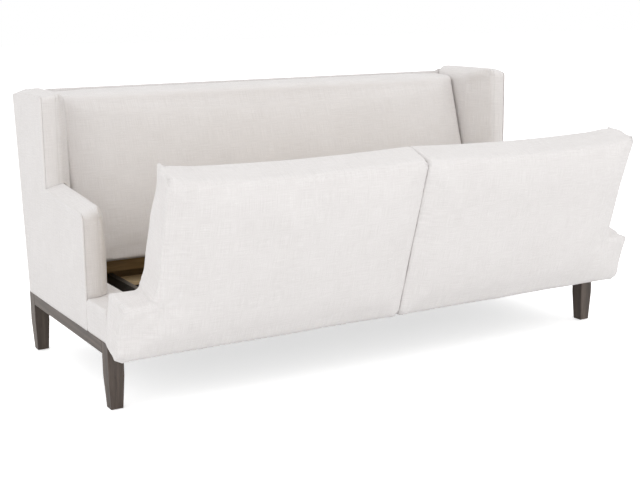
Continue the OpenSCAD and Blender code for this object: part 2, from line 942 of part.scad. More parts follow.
foot_front = pin_y - foot_plate_reach;
foot_back = rail_y - plate_thickness - soft_gap;
arm_screw_offset = foot_plate_width / 2 - 1.5 * screw_head_radius;
bracket_screw_offset = plate_width / 2 - 1.75 * screw_head_radius;
arm_screw_setback = (foot_front + foot_back) / 2 - pin_y;

module arm_screw_places() {
    for (x = hinge_offsets, s = [-1, 1])
        translate([
            x + s * arm_screw_offset, pin_y + arm_screw_setback, seat_z - foot_plate_thickness
        ])
            children();
}

module seat_board() {
    far = drawn_in + board_inset;
    near = seat_in + far;
    rear = seat_depth - rear_drawn_in - board_inset;
    color(pale_wood)
        tipped()
            difference() {
                translate([0, seat_y, seat_z])
                    linear_extrude(board_thickness)
                        polygon([
                            [near, far],
                            [ear_half - board_inset, far],
                            [ear_half - board_inset, ear_depth - board_inset],
                            [seat_half - far, ear_depth - board_inset],
                            [seat_half - far, rear],
                            [near, rear]
                        ]);
                arm_screw_places()
                    cylinder(
                        h = foot_plate_thickness + board_thickness - 1,
                        r = screw_radius + screw_clearance
                    );
            }
}

module seat_board_right() seat_board();
module seat_board_left() left() seat_board();

// Hinges: a pin through the cheeks of a fixed bracket, and an arm that turns on it.
// The heel of the arm comes up against the bracket's base plate when the seat is tipped.

module hinge_arms() {
    heel = front_padding - plate_thickness - pin_setback - stop_gap;
    stem = seat_z - foot_plate_thickness - pin_z;
    color(steel)
        tipped()
            difference() {
                for (x = hinge_offsets) {
                    translate([x - arm_thickness / 2, pin_y, pin_z])
                        rotate([90, 0, 90])
                            linear_extrude(arm_thickness) {
                                circle(eye_radius);
                                translate([-arm_thickness, 0]) square([2 * arm_thickness, stem]);
                                rotate(-tip_angle)
                                    translate([0, -eye_radius])
                                        square([heel, eye_radius]);
                            }
                    box(
                        x - foot_plate_width / 2, x + foot_plate_width / 2, foot_front, foot_back,
                        seat_z - foot_plate_thickness, seat_z
                    );
                }
                for (x = hinge_offsets)
                    translate([x - arm_thickness, pin_y, pin_z])
                        rotate([0, 90, 0])
                            cylinder(h = 2 * arm_thickness, r = pin_radius + pin_clearance);
                arm_screw_places()
                    translate([0, 0, -1])
                        cylinder(h = foot_plate_thickness + 2, r = screw_radius + screw_clearance);
            }
}

module hinge_arms_right() hinge_arms();
module hinge_arms_left() left() hinge_arms();

// A screw with a hexagonal head, which points up from the underside of its head
module screw() {
    cylinder(h = screw_length, r = screw_radius);
    translate([0, 0, -screw_head_thickness])
        cylinder(h = screw_head_thickness, r = screw_head_radius, $fn = 6);
}

module arm_screws() {
    color(steel) tipped() arm_screw_places() screw();
}

module arm_screws_right() arm_screws();
module arm_screws_left() left() arm_screws();

module bracket_screws() {
    color(steel) bracket_screw_places() screw();
}

bracket_top = seat_z - 3 * foot_plate_thickness;
cheek_in = arm_thickness / 2 + cheek_clearance;
cheek_out = cheek_in + plate_thickness;

module hinge_brackets() {
    reach = rail_y - plate_thickness - pin_y;
    color(steel)
        difference() {
            for (side = [-1, 1], x = hinge_offsets)
                translate([side * x, 0, 0]) {
                    box(
                        -plate_width / 2, plate_width / 2, rail_y - plate_thickness, rail_y,
                        pocket_bottom + pocket_clearance, bracket_top
                    );
                    for (s = [cheek_in, -cheek_out])
                        translate([s, pin_y, pin_z])
                            rotate([90, 0, 90])
                                linear_extrude(plate_thickness) {
                                    circle(eye_radius);
                                    translate([0, -eye_radius]) square([reach, 2 * eye_radius]);
                                }
                }
            for (side = [-1, 1], x = hinge_offsets)
                translate([side * x - plate_width, pin_y, pin_z])
                    rotate([0, 90, 0])
                        cylinder(h = 2 * plate_width, r = pin_radius);
            bracket_screw_places()
                translate([0, 0, -1])
                    cylinder(h = plate_thickness + 2, r = screw_radius + screw_clearance);
        }
}

module hinge_pins() {
    color(steel)
        for (side = [-1, 1], x = hinge_offsets)
            translate([side * x - cheek_out - 1, pin_y, pin_z])
                rotate([0, 90, 0])
                    cylinder(h = 2 * cheek_out + 2, r = pin_radius);
}

leg_front_left();
leg_front_right();
leg_rear_left();
leg_rear_right();
foot_glides();
base_rail_front();
base_rail_rear();
base_rail_left();
base_rail_right();
dust_cover();
front_seat_rail();
rear_seat_rail();
rear_floor_rail();
side_seat_rail_left();
side_seat_rail_right();
cross_bars();
deck_slats();
centre_bearer();
arm_frame_left();
arm_frame_right();
wing_frame_left();
wing_frame_right();
outside_panel_left();
outside_panel_right();
arm_border_left();
arm_border_right();
wing_border_left();
wing_border_right();
arm_pad_left();
arm_pad_right();
wing_pad_left();
wing_pad_right();
platform_front();
platform_ear_left();
platform_ear_right();
seat_ledge_left();
seat_ledge_right();
back_ribs();
back_top_rail();
back_webbing();
back_pad();
outside_back();
hinge_brackets();
hinge_pins();
bracket_screws();
seat_board_left();
seat_cushion_left();
hinge_arms_left();
arm_screws_left();
seat_board_right();
seat_cushion_right();
hinge_arms_right();
arm_screws_right();
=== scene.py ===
import json
import math

import bpy
import numpy as np
from mathutils import Matrix, Vector

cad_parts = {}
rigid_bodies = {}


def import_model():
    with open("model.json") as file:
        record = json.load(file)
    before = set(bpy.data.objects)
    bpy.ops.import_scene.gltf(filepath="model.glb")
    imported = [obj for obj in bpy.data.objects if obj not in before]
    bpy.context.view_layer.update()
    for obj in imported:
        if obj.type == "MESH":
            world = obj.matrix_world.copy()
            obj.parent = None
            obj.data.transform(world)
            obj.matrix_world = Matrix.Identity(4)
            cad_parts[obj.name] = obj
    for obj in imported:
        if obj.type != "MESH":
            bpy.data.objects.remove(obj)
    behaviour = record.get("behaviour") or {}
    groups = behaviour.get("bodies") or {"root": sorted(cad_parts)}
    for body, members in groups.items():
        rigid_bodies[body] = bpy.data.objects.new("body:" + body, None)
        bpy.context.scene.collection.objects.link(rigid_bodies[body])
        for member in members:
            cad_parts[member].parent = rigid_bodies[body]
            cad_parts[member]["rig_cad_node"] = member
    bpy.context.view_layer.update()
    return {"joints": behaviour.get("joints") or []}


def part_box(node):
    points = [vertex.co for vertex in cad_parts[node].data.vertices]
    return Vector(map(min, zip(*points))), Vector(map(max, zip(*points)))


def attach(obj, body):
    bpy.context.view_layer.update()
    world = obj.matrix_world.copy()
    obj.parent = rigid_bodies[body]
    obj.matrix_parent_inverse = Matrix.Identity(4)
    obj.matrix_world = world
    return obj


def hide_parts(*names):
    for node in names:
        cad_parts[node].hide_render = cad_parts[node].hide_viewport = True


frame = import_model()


def low(node):
    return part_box(node)[0]


def high(node):
    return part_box(node)[1]


# Places that several pieces share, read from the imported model
half = high("platform_front").x
frontY = low("platform_front").y
baseTop = low("platform_front").z
deckZ = high("platform_front").z
topZ = high("outside_back").z
armY = low("outside_panel_right").y
timberIn = low("arm_frame_right").x
timberOut = high("arm_frame_right").x
wingY = low("wing_border_right").y
wingInner = low("wing_pad_right").x
armInner = 0.898      # the inside face of an arm, at its edges
seatHinge = next(j for j in frame["joints"] if j["name"] == "seat_right_tip")
print("frame loaded", round(half, 4), round(frontY, 4), round(deckZ, 4), round(topZ, 4))


# Numbers and meshes

# Rises from 0 to 1 as t goes from 0 to 1, level at both ends
def ease(t):
    t = np.clip(t, 0, 1)
    return t * t * (3 - 2 * t)


# Sum of plane waves with seeded directions and phases, scaled to about -1..1
def ripple(places, wavelength, seed, count):
    rng = np.random.default_rng(seed)
    total = np.zeros(len(places))
    for _ in range(count):
        direction = rng.normal(size=places.shape[1])
        direction /= np.linalg.norm(direction)
        length = wavelength * rng.uniform(0.7, 1.5)
        total += np.sin(2 * math.pi * (places @ direction) / length + rng.uniform(0, 6.28))
    return total / math.sqrt(count / 2) / 1.6


# Long waves with lower and shorter ones on them, as cloth over padding has
def uneven(places, lengths, shares, seed, longBy=1.0, shortBy=1.0):
    return (ripple(places * longBy, lengths[0], seed, 9) * shares[0]
            + ripple(places * shortBy, lengths[1], seed + 1, 9) * shares[1])


# How far a rolled edge has dropped at a gap inwards from it: a quarter of an ellipse
def rolled(gap, reach, depth=None):
    e = 1 - np.clip(gap / reach, 0, 1)
    return (reach if depth is None else depth) * (1 - np.sqrt(1 - e**2))


# Where the first points of a grid lie in from a rolled edge, as shares of its strip
edgeSteps = np.array([0, 0.04, 0.12, 0.25, 0.4, 0.58, 0.78])
edgeStrip = 0.008


# All pairs of two runs of numbers, the first one's value held while the second one's run
def allPairs(first, second):
    return (a.ravel() for a in np.meshgrid(first, second, indexing="ij"))


# Quads of a grid of rows by columns of points, row after row
def gridQuads(rows, columns, closeRows=False, closeColumns=False):
    r = np.arange(rows if closeRows else rows - 1)
    c = np.arange(columns if closeColumns else columns - 1)
    r, c = allPairs(r, c)
    r2, c2 = (r + 1) % rows, (c + 1) % columns
    return np.stack([r * columns + c, r2 * columns + c, r2 * columns + c2, r * columns + c2], 1)


# Edges that only one quad uses, in that quad's direction
def openEdges(quads):
    edges = np.concatenate([quads[:, [k, (k + 1) % 4]] for k in range(4)])
    keys = np.sort(edges, 1)
    _, inverse, counts = np.unique(keys, axis=0, return_inverse=True, return_counts=True)
    return edges[counts[inverse.ravel()] == 1]


# A closed skin from two layers over the same quads: the first layer faces outwards,
# the second is turned over, and walls of several levels join them round every open edge.
# A wall swells outwards by bulge times the sine of its height.
def closedShell(first, second, quads, levels=1, bulge=0.0):
    n = len(first)
    rim = openEdges(quads)
    used, index = np.unique(rim, return_inverse=True)
    index = index.reshape(rim.shape)
    along = first[rim[:, 1]] - first[rim[:, 0]]
    outward = np.cross(along, first[rim[:, 0]] - second[rim[:, 0]])
    side = np.zeros((len(used), 3))
    np.add.at(side, index[:, 0], outward)
    np.add.at(side, index[:, 1], outward)
    side /= np.linalg.norm(side, axis=1)[:, None] + 1e-12
    points = [first, second]
    rings = [used]
    for k in range(1, levels):
        t = k / levels
        ring = first[used] * (1 - t) + second[used] * t
        points.append(ring + side * bulge * math.sin(math.pi * t) ** 0.7)
        rings.append(2 * n + (k - 1) * len(used) + np.arange(len(used)))
    rings.append(used + n)
    walls = [
        np.stack([a[index[:, 1]], a[index[:, 0]], b[index[:, 0]], b[index[:, 1]]], 1)
        for a, b in zip(rings, rings[1:])
    ]
    return np.concatenate(points), np.concatenate([quads, quads[:, ::-1] + n, *walls])


def makeMesh(name, points, faces):
    mesh = bpy.data.meshes.new(name)
    sides = faces.shape[1]
    mesh.vertices.add(len(points))
    mesh.vertices.foreach_set("co", np.ascontiguousarray(points, np.float32).ravel())
    mesh.loops.add(faces.size)
    mesh.loops.foreach_set("vertex_index", np.ascontiguousarray(faces, np.int32).ravel())
    mesh.polygons.add(len(faces))
    mesh.polygons.foreach_set("loop_start", np.arange(0, faces.size, sides, dtype=np.int32))
    mesh.update(calc_edges=True)
    mesh.validate()
    mesh.polygons.foreach_set("use_smooth", np.ones(len(mesh.polygons), bool))
    return mesh


def read(collection, name, width):
    values = np.zeros(len(collection) * width, np.float32)
    collection.foreach_get(name, values)
    return values.reshape(-1, width).astype(float)


def rewrite(mesh, points):
    mesh.vertices.foreach_set("co", np.ascontiguousarray(points, np.float32).ravel())
    mesh.update()


def linked(name, mesh):
    obj = bpy.data.objects.new(name, mesh)
    bpy.context.scene.collection.objects.link(obj)
    return obj


def linkedSkin(name, points, faces):
    return linked(name, makeMesh(name, points, faces))


# The mesh as its modifiers leave it
def evaluated(obj):
    graph = bpy.context.evaluated_depsgraph_get()
    return bpy.data.meshes.new_from_object(obj.evaluated_get(graph), depsgraph=graph)


# The same, put in place of the modifiers
def applied(obj):
    mesh = evaluated(obj)
    obj.modifiers.clear()
    obj.data = mesh
    return mesh


# UV in metres: each face is laid flat along the axis that it faces most,
# with the weave running level and upright on it
def layWeave(mesh, shift):
    points = read(mesh.vertices, "co", 3)
    corner = np.zeros(len(mesh.loops), np.int32)
    mesh.loops.foreach_get("vertex_index", corner)
    sizes = np.zeros(len(mesh.polygons), np.int32)
    mesh.polygons.foreach_get("loop_total", sizes)
    facing = np.abs(read(mesh.polygons, "normal", 3)).argmax(1)
    facing = np.repeat(facing, sizes)
    first = np.choose(facing, [1, 0, 0])
    second = np.choose(facing, [2, 2, 1])
    at = points[corner]
    rows = np.arange(len(corner))
    apart = 0.37 * facing      # keeps the sides from showing the same stretch of cloth
    flat = np.stack([at[rows, first] + apart + shift, at[rows, second]], 1)
    layer = mesh.uv_layers.new(name="weave")
    layer.data.foreach_set("uv", flat.astype(np.float32).ravel())


# Distance from points in a plane to a closed outline, positive inside,
# and how far along the outline the nearest place lies
def outlineDistance(at, outline):
    a = np.asarray(outline, float)
    b = np.roll(a, -1, 0)
    lengths = np.linalg.norm(b - a, axis=1)
    starts = np.concatenate([[0], np.cumsum(lengths)[:-1]])
    best = np.full(len(at), 1e9)
    along = np.zeros(len(at))
    inside = np.zeros(len(at), bool)
    for p, q, length, start in zip(a, b, lengths, starts):
        t = np.clip((at - p) @ (q - p) / length**2, 0, 1)
        gap = np.linalg.norm(at - p - t[:, None] * (q - p), axis=1)
        nearer = gap < best
        best = np.where(nearer, gap, best)
        along = np.where(nearer, start + t * length, along)
        crosses = (p[1] > at[:, 1]) != (q[1] > at[:, 1])
        reach = (q[0] - p[0]) * (at[:, 1] - p[1]) / (q[1] - p[1] + 1e-15) + p[0]
        inside ^= crosses & (at[:, 0] < reach)
    return np.where(inside, best, -best), along


# Stuffing

# Averages how far each point moves with how far its neighbours do, a few rounds over,
# so that the swelling stays and small creases go
def settled(mesh, moved, fixed, rounds):
    edges = np.zeros(len(mesh.edges) * 2, np.int32)
    mesh.edges.foreach_get("vertices", edges)
    a, b = edges.reshape(-1, 2).T
    count = np.bincount(np.concatenate([a, b]), minlength=len(moved))[:, None]
    free = (1 - fixed)[:, None]
    for _ in range(rounds):
        total = np.stack([
            np.bincount(a, moved[b, k], len(moved)) + np.bincount(b, moved[a, k], len(moved))
            for k in range(3)
        ], 1)
        moved = moved + (total / count - moved) * 0.6 * free
    return moved


# The cloth that all covers are cut from: rounds of softening before it is blown up,
# air pressure, weight and resistance to stretching
coverCare = {"soften": 3, "air": 4.0, "mass": 0.3, "stretch": 12, "frames": 20}


# A stuffed cover: the closed skin is remeshed in small cells and blown up as cloth,
# no point going further than reach, then subdivided once
def stuffed(name, points, quads, care, held):
    obj = linkedSkin(name, points, quads)
    remesh = obj.modifiers.new("cells", "REMESH")
    remesh.mode = "VOXEL"
    remesh.voxel_size = care["cell"]
    soften = obj.modifiers.new("soften", "SMOOTH")
    soften.factor = 0.5
    soften.iterations = care["soften"]
    mesh = applied(obj)
    start = read(mesh.vertices, "co", 3)
    fixed = held(start)
    group = obj.vertex_groups.new(name="held")
    group.add(np.flatnonzero(fixed > 0.5).tolist(), 1.0, "REPLACE")
    cloth = obj.modifiers.new("cloth", "CLOTH")
    settings = cloth.settings
    settings.quality = 4
    settings.mass = care["mass"]
    settings.tension_stiffness = care["stretch"]
    settings.compression_stiffness = care["stretch"]
    settings.shear_stiffness = care["stretch"] / 3
    settings.bending_stiffness = care["bend"]
    settings.use_pressure = True
    settings.uniform_pressure_force = care["air"]
    settings.vertex_group_mass = "held"
    settings.effector_weights.gravity = 0
    cloth.collision_settings.use_collision = False
    cloth.point_cache.frame_start = 1
    cloth.point_cache.frame_end = care["frames"]
    for number in range(1, care["frames"] + 1):
        bpy.context.scene.frame_set(number)
    blown = evaluated(obj)
    moved = read(blown.vertices, "co", 3) - start
    bpy.context.scene.frame_set(1)
    obj.modifiers.clear()
    length = np.linalg.norm(moved, axis=1)[:, None] + 1e-9
    moved *= care["reach"] * np.tanh(length / care["reach"]) / length
    moved = settled(mesh, moved, fixed, care["settle"])
    rewrite(mesh, start + moved)
    finer = obj.modifiers.new("finer", "SUBSURF")
    finer.levels = finer.render_levels = 1
    mesh = applied(obj)
    mesh.polygons.foreach_set("use_smooth", np.ones(len(mesh.polygons), bool))
    print("stuffed", name, len(mesh.vertices), "points, moved up to", round(float(length.max()), 4))
    return obj


# The other side's piece: the mesh seen in a mirror, its faces turned back outwards
def mirrored(name, mesh):
    other = mesh.copy()
    other.name = name
    points = read(other.vertices, "co", 3)
    points[:, 0] *= -1
    rewrite(other, points)
    other.flip_normals()
    return linked(name, other)


# Puts a finished piece to work: what it stands for, what it rides on, its finish
def dress(obj, material, body="frame", nodes=(), shift=0.0, weave=True):
    if weave:
        layWeave(obj.data, shift)
    obj.data.materials.clear()
    obj.data.materials.append(material)
    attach(obj, body)
    if nodes:
        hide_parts(*nodes)
    return obj


# Shader maths

class Wire:
    def __init__(self, tree, socket):
        self.tree, self.socket = tree, socket

    # A node of one type, with its settings and then the values or links of its sockets
    def node(self, kind, settings, **inputs):
        return makeNode(self.tree, kind, settings, **inputs)

    def maths(self, operation, a, b=None):
        return self.node("ShaderNodeMath", {"operation": operation}, i0=a, i1=b)

    def __add__(self, other):
        return self.maths("ADD", self, other)

    def __radd__(self, other):
        return self.maths("ADD", other, self)

    def __sub__(self, other):
        return self.maths("SUBTRACT", self, other)

    def __rsub__(self, other):
        return self.maths("SUBTRACT", other, self)

    def __mul__(self, other):
        return self.maths("MULTIPLY", self, other)

    def __rmul__(self, other):
        return self.maths("MULTIPLY", other, self)

    def absolute(self):
        return self.maths("ABSOLUTE", self)

    def fraction(self):
        return self.maths("FRACT", self)

    def greater(self, other):
        return self.maths("MAXIMUM", self, other)

    def wave(self, cycle):
        return self.maths("SINE", self * (2 * math.pi / cycle))

    # Cut off below 0 and above 1
    def clamp(self):
        return self.node(
            "ShaderNodeMapRange", {"clamp": True}, i0=self, i1=0.0, i2=1.0, i3=0.0, i4=1.0
        )

    # From 0 to 1 as the value goes from start to end, level at both
    def soft(self, start, end):
        return self.node(
            "ShaderNodeMapRange", {"interpolation_type": "SMOOTHSTEP"},
            i0=self, i1=start, i2=end, i3=0.0, i4=1.0,
        )


# An input goes by its name, with _ for a space, or by its number as i0, i1 and so on
def makeNode(tree, kind, settings=None, output=0, **inputs):
    node = tree.nodes.new(kind)
    for name, value in (settings or {}).items():
        setattr(node, name, value)
    for name, value in inputs.items():
        if value is None:
            continue
        numbered = name[0] == "i" and name[1:].isdigit()
        socket = node.inputs[int(name[1:]) if numbered else name.replace("_", " ")]
        if isinstance(value, Wire):
            tree.links.new(value.socket, socket)
        else:
            socket.default_value = value
    return Wire(tree, node.outputs[output]) if node.outputs else None


# A new material with its shader; the sockets that stay the same all over are set here
def newMaterial(name, **constants):
    material = bpy.data.materials.new(name)
    material.use_nodes = True
    tree = material.node_tree
    shader = tree.nodes["Principled BSDF"]
    for key, value in constants.items():
        shader.inputs[key.replace("_", " ")].default_value = value
    return material, tree, shader


def mixColour(tree, share, first, second):
    colour = lambda c: c if isinstance(c, Wire) else (*c, 1)
    return makeNode(
        tree, "ShaderNodeMix", {"data_type": "RGBA"}, 2,
        i0=share, i6=colour(first), i7=colour(second),
    )


def noise(tree, vector, scale, detail, rough=0.5):
    return makeNode(
        tree, "ShaderNodeTexNoise", Vector=vector, Scale=scale, Detail=detail, Roughness=rough
    )


# The place on the object that a pattern is worked out from
def objectPlace(tree):
    return makeNode(tree, "ShaderNodeTexCoord", output="Object")


def separated(tree, vector):
    outputs = makeNode(tree, "ShaderNodeSeparateXYZ", i0=vector).socket.node.outputs
    return [Wire(tree, outputs[k]) for k in range(3)]


def stretched(tree, vector, x, y, z):
    return makeNode(tree, "ShaderNodeVectorMath", {"operation": "MULTIPLY"}, i0=vector, i1=(x, y, z))


def feed(tree, wire, shader, socket):
    tree.links.new(wire.socket, shader.inputs[socket])


def bump(tree, shader, height, distance, strength):
    normal = makeNode(tree, "ShaderNodeBump", Height=height, Distance=distance, Strength=strength)
    feed(tree, normal, shader, "Normal")


# Written as seen on the screen, turned to the linear value that nodes take
def seen(r, g, b):
    turn = lambda v: ((v / 255 + 0.055) / 1.055) ** 2.4 if v > 10 else v / 255 / 12.92
    return (turn(r), turn(g), turn(b))


# Materials

linenLook = {
    "thread": 0.0011,       # from one thread to the next
    "light": (237, 234, 233),
    "dark": (213, 209, 207),
    "slub": (249, 248, 247),
}


# Plain weave of uneven threads: two sets of ridges take turns on top, each thread
# swells and thins along its run, and now and then a thick pale slub shows. The hollows between the
# threads are painted darker, as painted shade
def linen(name):
    care = linenLook
    material, tree, shader = newMaterial(name, Roughness=0.9, Sheen_Weight=0.12, Sheen_Roughness=0.6)
    shader.inputs["Specular IOR Level"].default_value = 0.25
    uv = makeNode(tree, "ShaderNodeUVMap", {"uv_map": "weave"})
    across, up, _ = separated(tree, uv)
    pitch = care["thread"]
    warpSwell = noise(tree, stretched(tree, uv, 1 / pitch, 28, 1), 0.55, 2.0)
    weftSwell = noise(tree, stretched(tree, uv, 28, 1 / pitch, 1), 0.55, 2.0)
    acrossWave, upWave = across.wave(2 * pitch), up.wave(2 * pitch)
    warp, weft = acrossWave.absolute(), upWave.absolute()
    turn = (acrossWave * upWave).soft(-0.35, 0.35)
    height = warp * turn + weft * (1 - turn)
    streak = warpSwell * 0.5 + weftSwell * 0.5
    slubLevel = noise(tree, stretched(tree, uv, 34, 420, 1), 1.0, 1.0)
    slubUpright = noise(tree, stretched(tree, uv, 420, 34, 1), 1.0, 1.0)
    slub = slubLevel.soft(0.70, 0.80).greater(slubUpright.soft(0.72, 0.82))
    cloud = noise(tree, uv, 6.0, 2.0)
    # height * 0.55 darkens the tone where the weave is low: painted shade between the threads
    tone = (streak - 0.5) * 1.6 + (cloud - 0.5) * 0.35 + height * 0.55 + 0.2
    light, dark, pale = (seen(*care[k]) for k in ("light", "dark", "slub"))
    colour = mixColour(tree, tone.clamp(), dark, light)
    colour = mixColour(tree, slub * 0.6, colour, pale)
    feed(tree, colour, shader, "Base Color")
    bump(tree, shader, height * 0.6 + streak * 1.4 + slub * 0.8, 0.0005, 0.55)
    return material


# Fine streaks along one axis, wider bands of tone across them, and open pores
def timber(name, dark, light, run, rough, scale=1.0, pores=0.5):
    material, tree, shader = newMaterial(name)
    place = objectPlace(tree)
    squeeze = [95.0 * scale] * 3
    squeeze["xyz".index(run)] = 5.0 * scale
    wobble = noise(tree, stretched(tree, place, *[v / 12 for v in squeeze]), 1.0, 2.0)
    grain = noise(tree, stretched(tree, place, *squeeze), 1.0, 4.0, 0.6)
    fine = noise(tree, stretched(tree, place, *[v * 5 for v in squeeze]), 1.0, 2.0)
    rings = ((wobble * 9.0).fraction() - 0.5).absolute() * 2
    tone = grain * 0.75 + rings * 0.25 - 0.05
    colour = mixColour(tree, tone.soft(0.2, 0.8), seen(*dark), seen(*light))
    pore = fine.soft(0.62, 0.72) * pores
    colour = mixColour(tree, pore, colour, tuple(v * 0.45 for v in seen(*dark)))
    feed(tree, colour, shader, "Base Color")
    feed(tree, grain * 0.16 + pore * 0.15 + (rough - 0.08), shader, "Roughness")
    bump(tree, shader, grain * 0.5 - pore, 0.0003, 0.5)
    return material


# Long grain along one axis, wider bands of tone, and fine darker flecks
def plywood(name, run):
    material, tree, shader = newMaterial(name)
    place = objectPlace(tree)
    squeeze = [60.0] * 3
    squeeze["xyz".index(run)] = 3.0
    grain = noise(tree, stretched(tree, place, *squeeze), 1.0, 4.0, 0.6)
    wide = noise(tree, stretched(tree, place, *[v / 6 for v in squeeze]), 1.0, 2.0)
    tone = grain * 0.6 + wide * 0.4
    colour = mixColour(tree, tone.soft(0.3, 0.7), seen(206, 178, 136), seen(230, 207, 168))
    fine = noise(tree, stretched(tree, place, *[v * 4 for v in squeeze]), 1.0, 2.0).soft(0.62, 0.75)
    colour = mixColour(tree, fine * 0.4, colour, seen(140, 106, 70))
    feed(tree, colour, shader, "Base Color")
    feed(tree, grain * 0.2 + 0.5, shader, "Roughness")
    bump(tree, shader, grain, 0.0003, 0.4)
    return material


# Zinc-plated steel: drawn lines along X, cloudy spangle
def plated(name):
    material, tree, shader = newMaterial(name, Metallic=1.0)
    place = objectPlace(tree)
    lines = noise(tree, stretched(tree, place, 40, 900, 900), 1.0, 3.0)
    cloud = noise(tree, place, 60.0, 3.0)
    tone = (lines * 0.5 + cloud * 0.5).soft(0.3, 0.7)
    colour = mixColour(tree, tone, seen(150, 150, 152), seen(196, 196, 197))
    feed(tree, colour, shader, "Base Color")
    feed(tree, lines * 0.25 + cloud * 0.15 + 0.18, shader, "Roughness")
    bump(tree, shader, lines, 0.0001, 0.3)
    return material


# Moulded black plastic with a fine grain
def moulded(name):
    material, tree, shader = newMaterial(name)
    place = objectPlace(tree)
    grain = noise(tree, place, 900.0, 3.0)
    colour = mixColour(tree, grain, seen(34, 34, 34), seen(52, 51, 50))
    feed(tree, colour, shader, "Base Color")
    feed(tree, grain * 0.2 + 0.45, shader, "Roughness")
    bump(tree, shader, grain, 0.0002, 0.4)
    return material


# Black cloth, woven or felted: crossing ridges of one pitch along X and one other axis
def darkCloth(name, pitch, other, light=(52, 50, 49), dark=(20, 20, 20)):
    material, tree, shader = newMaterial(name, Roughness=0.95)
    place = objectPlace(tree)
    ways = dict(zip("xyz", separated(tree, place)))
    cross = (ways["x"].wave(pitch) * ways[other].wave(pitch)) * 0.5 + 0.5
    fuzz = noise(tree, place, 700.0, 3.0)
    colour = mixColour(tree, cross * 0.6 + fuzz * 0.4, seen(*dark), seen(*light))
    feed(tree, colour, shader, "Base Color")
    bump(tree, shader, cross + fuzz, 0.0004, 0.5)
    return material


linenBody = linen("linenBody")
linenSeat = linen("linenSeat")
espresso = (66, 56, 50), (104, 92, 83)
hardwood = (134, 112, 78), (180, 155, 114)
espressoUpright, espressoAcross, espressoAlong = (
    timber(f"espresso{way}", *espresso, run, 0.42, pores=0.35)
    for way, run in (("Upright", "z"), ("Across", "x"), ("Along", "y"))
)
hardwoodAcross, hardwoodAlong, hardwoodUpright = (
    timber(f"hardwood{way}", *hardwood, run, 0.62, 0.7)
    for way, run in (("Across", "x"), ("Along", "y"), ("Upright", "z"))
)
# The bar's own colour is a dark charcoal; these colours are lighter: painted light, standing in for the
# light that misses the shaded gap between seat and arm
charcoalBar = timber("charcoalBar", (104, 98, 92), (136, 129, 122), "y", 0.6, 0.8)
paleAcross = plywood("paleAcross", "x")
paleAlong = plywood("paleAlong", "y")
zinc = plated("zinc")
glide = moulded("glide")
cambric = darkCloth("cambric", 0.0022, "y")
strap = darkCloth("strap", 0.0035, "z", (70, 66, 62), (26, 25, 25))
print("materials ready")


# Seats, drawn flat: x from the middle, y from the front edge, z up from the board's underside

seatCare = {
    "inX": 0.001, "sideX": 0.877, "earX": 0.987, "depth": 0.568, "earDepth": 0.165,
    "overhang": 0.020, "thick": 0.125, "rounding": 0.016,
    "crown": 0.014, "crownReach": 0.190,
    "drawnIn": 0.002, "rearDrawnIn": 0.011,       # side and rear edge, between their corners
    "cornerPoint": 0.008, "cornerReach": 0.110,   # how the rear outer corner stands out
    "fillet": 0.034, "filletFill": 0.293,         # the inner corner by the ear
    "flare": 0.011, "flareReach": 0.24,           # how the side widens towards the ear
    "outset": 0.004,         # how much fuller than the solid the upper edge starts
    "split": 0.001,          # how far short of the other seat the skin starts
    "cell": 0.008, "reach": 0.0085, "bend": 0.4, "settle": 12, **coverCare,
}
wallCare = {
    "low": (0.013, 0.004, 0.0, 0.004),       # how far the wall stands out by the board,
    "high": (0.014, 0.014, 0.004, 0.010),    # higher up, and along its top edge:
    "top": (0.022, 0.017, 0.006, 0.016),     # at the side, front, rear and inside
    "held": 0.045, "heldFade": 0.030,        # up to here the wall is held at the drawn edge
    "near": 0.030,                           # how near to that edge a point of the wall lies
    "lowEnd": 0.40, "lowFade": 0.13,         # where the low fullness of the side ends
    "highFrom": 0.050, "topFrom": 0.075, "topFade": 0.035,
    "corner": 0.8,                           # how much fuller a corner is
    "inward": 0.045, "inwardFade": 0.035,    # how far in from the edge it all ends
}
seamCare = {
    "angle": 48, "width": 0.0042, "depth": 0.0022,      # where it runs on the rounded edge
    "from": 0.085, "fade": 0.015,                       # there is none on the wall below this
    "spread": 1.3,                                      # the blown-up edge is rounder
    "pucker": 0.0007, "puckerLength": 0.021, "puckerReach": 0.014,
    "wrinkle": 0.0013, "wrinkleFrom": 0.04,
    "ray": 0.0014, "rayAt": 0.050, "rayWidth": 0.045,   # creases round the ear's inner corner
    "dogEar": {"left": 0.009, "right": 0.003}, "dogEarReach": 0.024, "dogEarHigh": 0.08,
}
clearCare = {
    "middle": 0.0012, "middleWave": 0.0004,       # from the other seat
    "side": 0.8925, "sideFront": 0.018,           # from the arm, and from its rounded front
    "sideFrom": 0.19, "frontEnd": 0.248, "frontFade": 0.06,
    "rear": 0.5715, "rearLean": 0.28, "rearEnd": 0.868,      # from the leaning back
    "under": 0.0008,
}

tip = math.radians(-seatHinge["range_deg"][0])
pinY, pinZ = seatHinge["pos_m"][1:]
seatFrontY = frontY - seatCare["overhang"]
seatZ = deckZ + 0.0003


# From lying flat to resting tipped on the stop
def tipSeat(points):
    y = points[:, 1] + seatFrontY - pinY
    z = points[:, 2] + seatZ - pinZ
    return np.stack([
        points[:, 0],
        pinY + y * math.cos(tip) - z * math.sin(tip),
        pinZ + y * math.sin(tip) + z * math.cos(tip),
    ], 1)


# Distance from a place in plan to the edge of the T-shaped half
def seatEdge(x, y, inset):
    care = seatCare
    beside, behind = care["sideX"] - inset - x, care["earDepth"] - inset - y
    notch = np.hypot(np.maximum(beside, 0), np.maximum(behind, 0))
    sides = [x - care["inX"] - inset, care["earX"] - inset - x, y - inset, care["depth"] - inset - y]
    return np.minimum.reduce([*sides, notch])


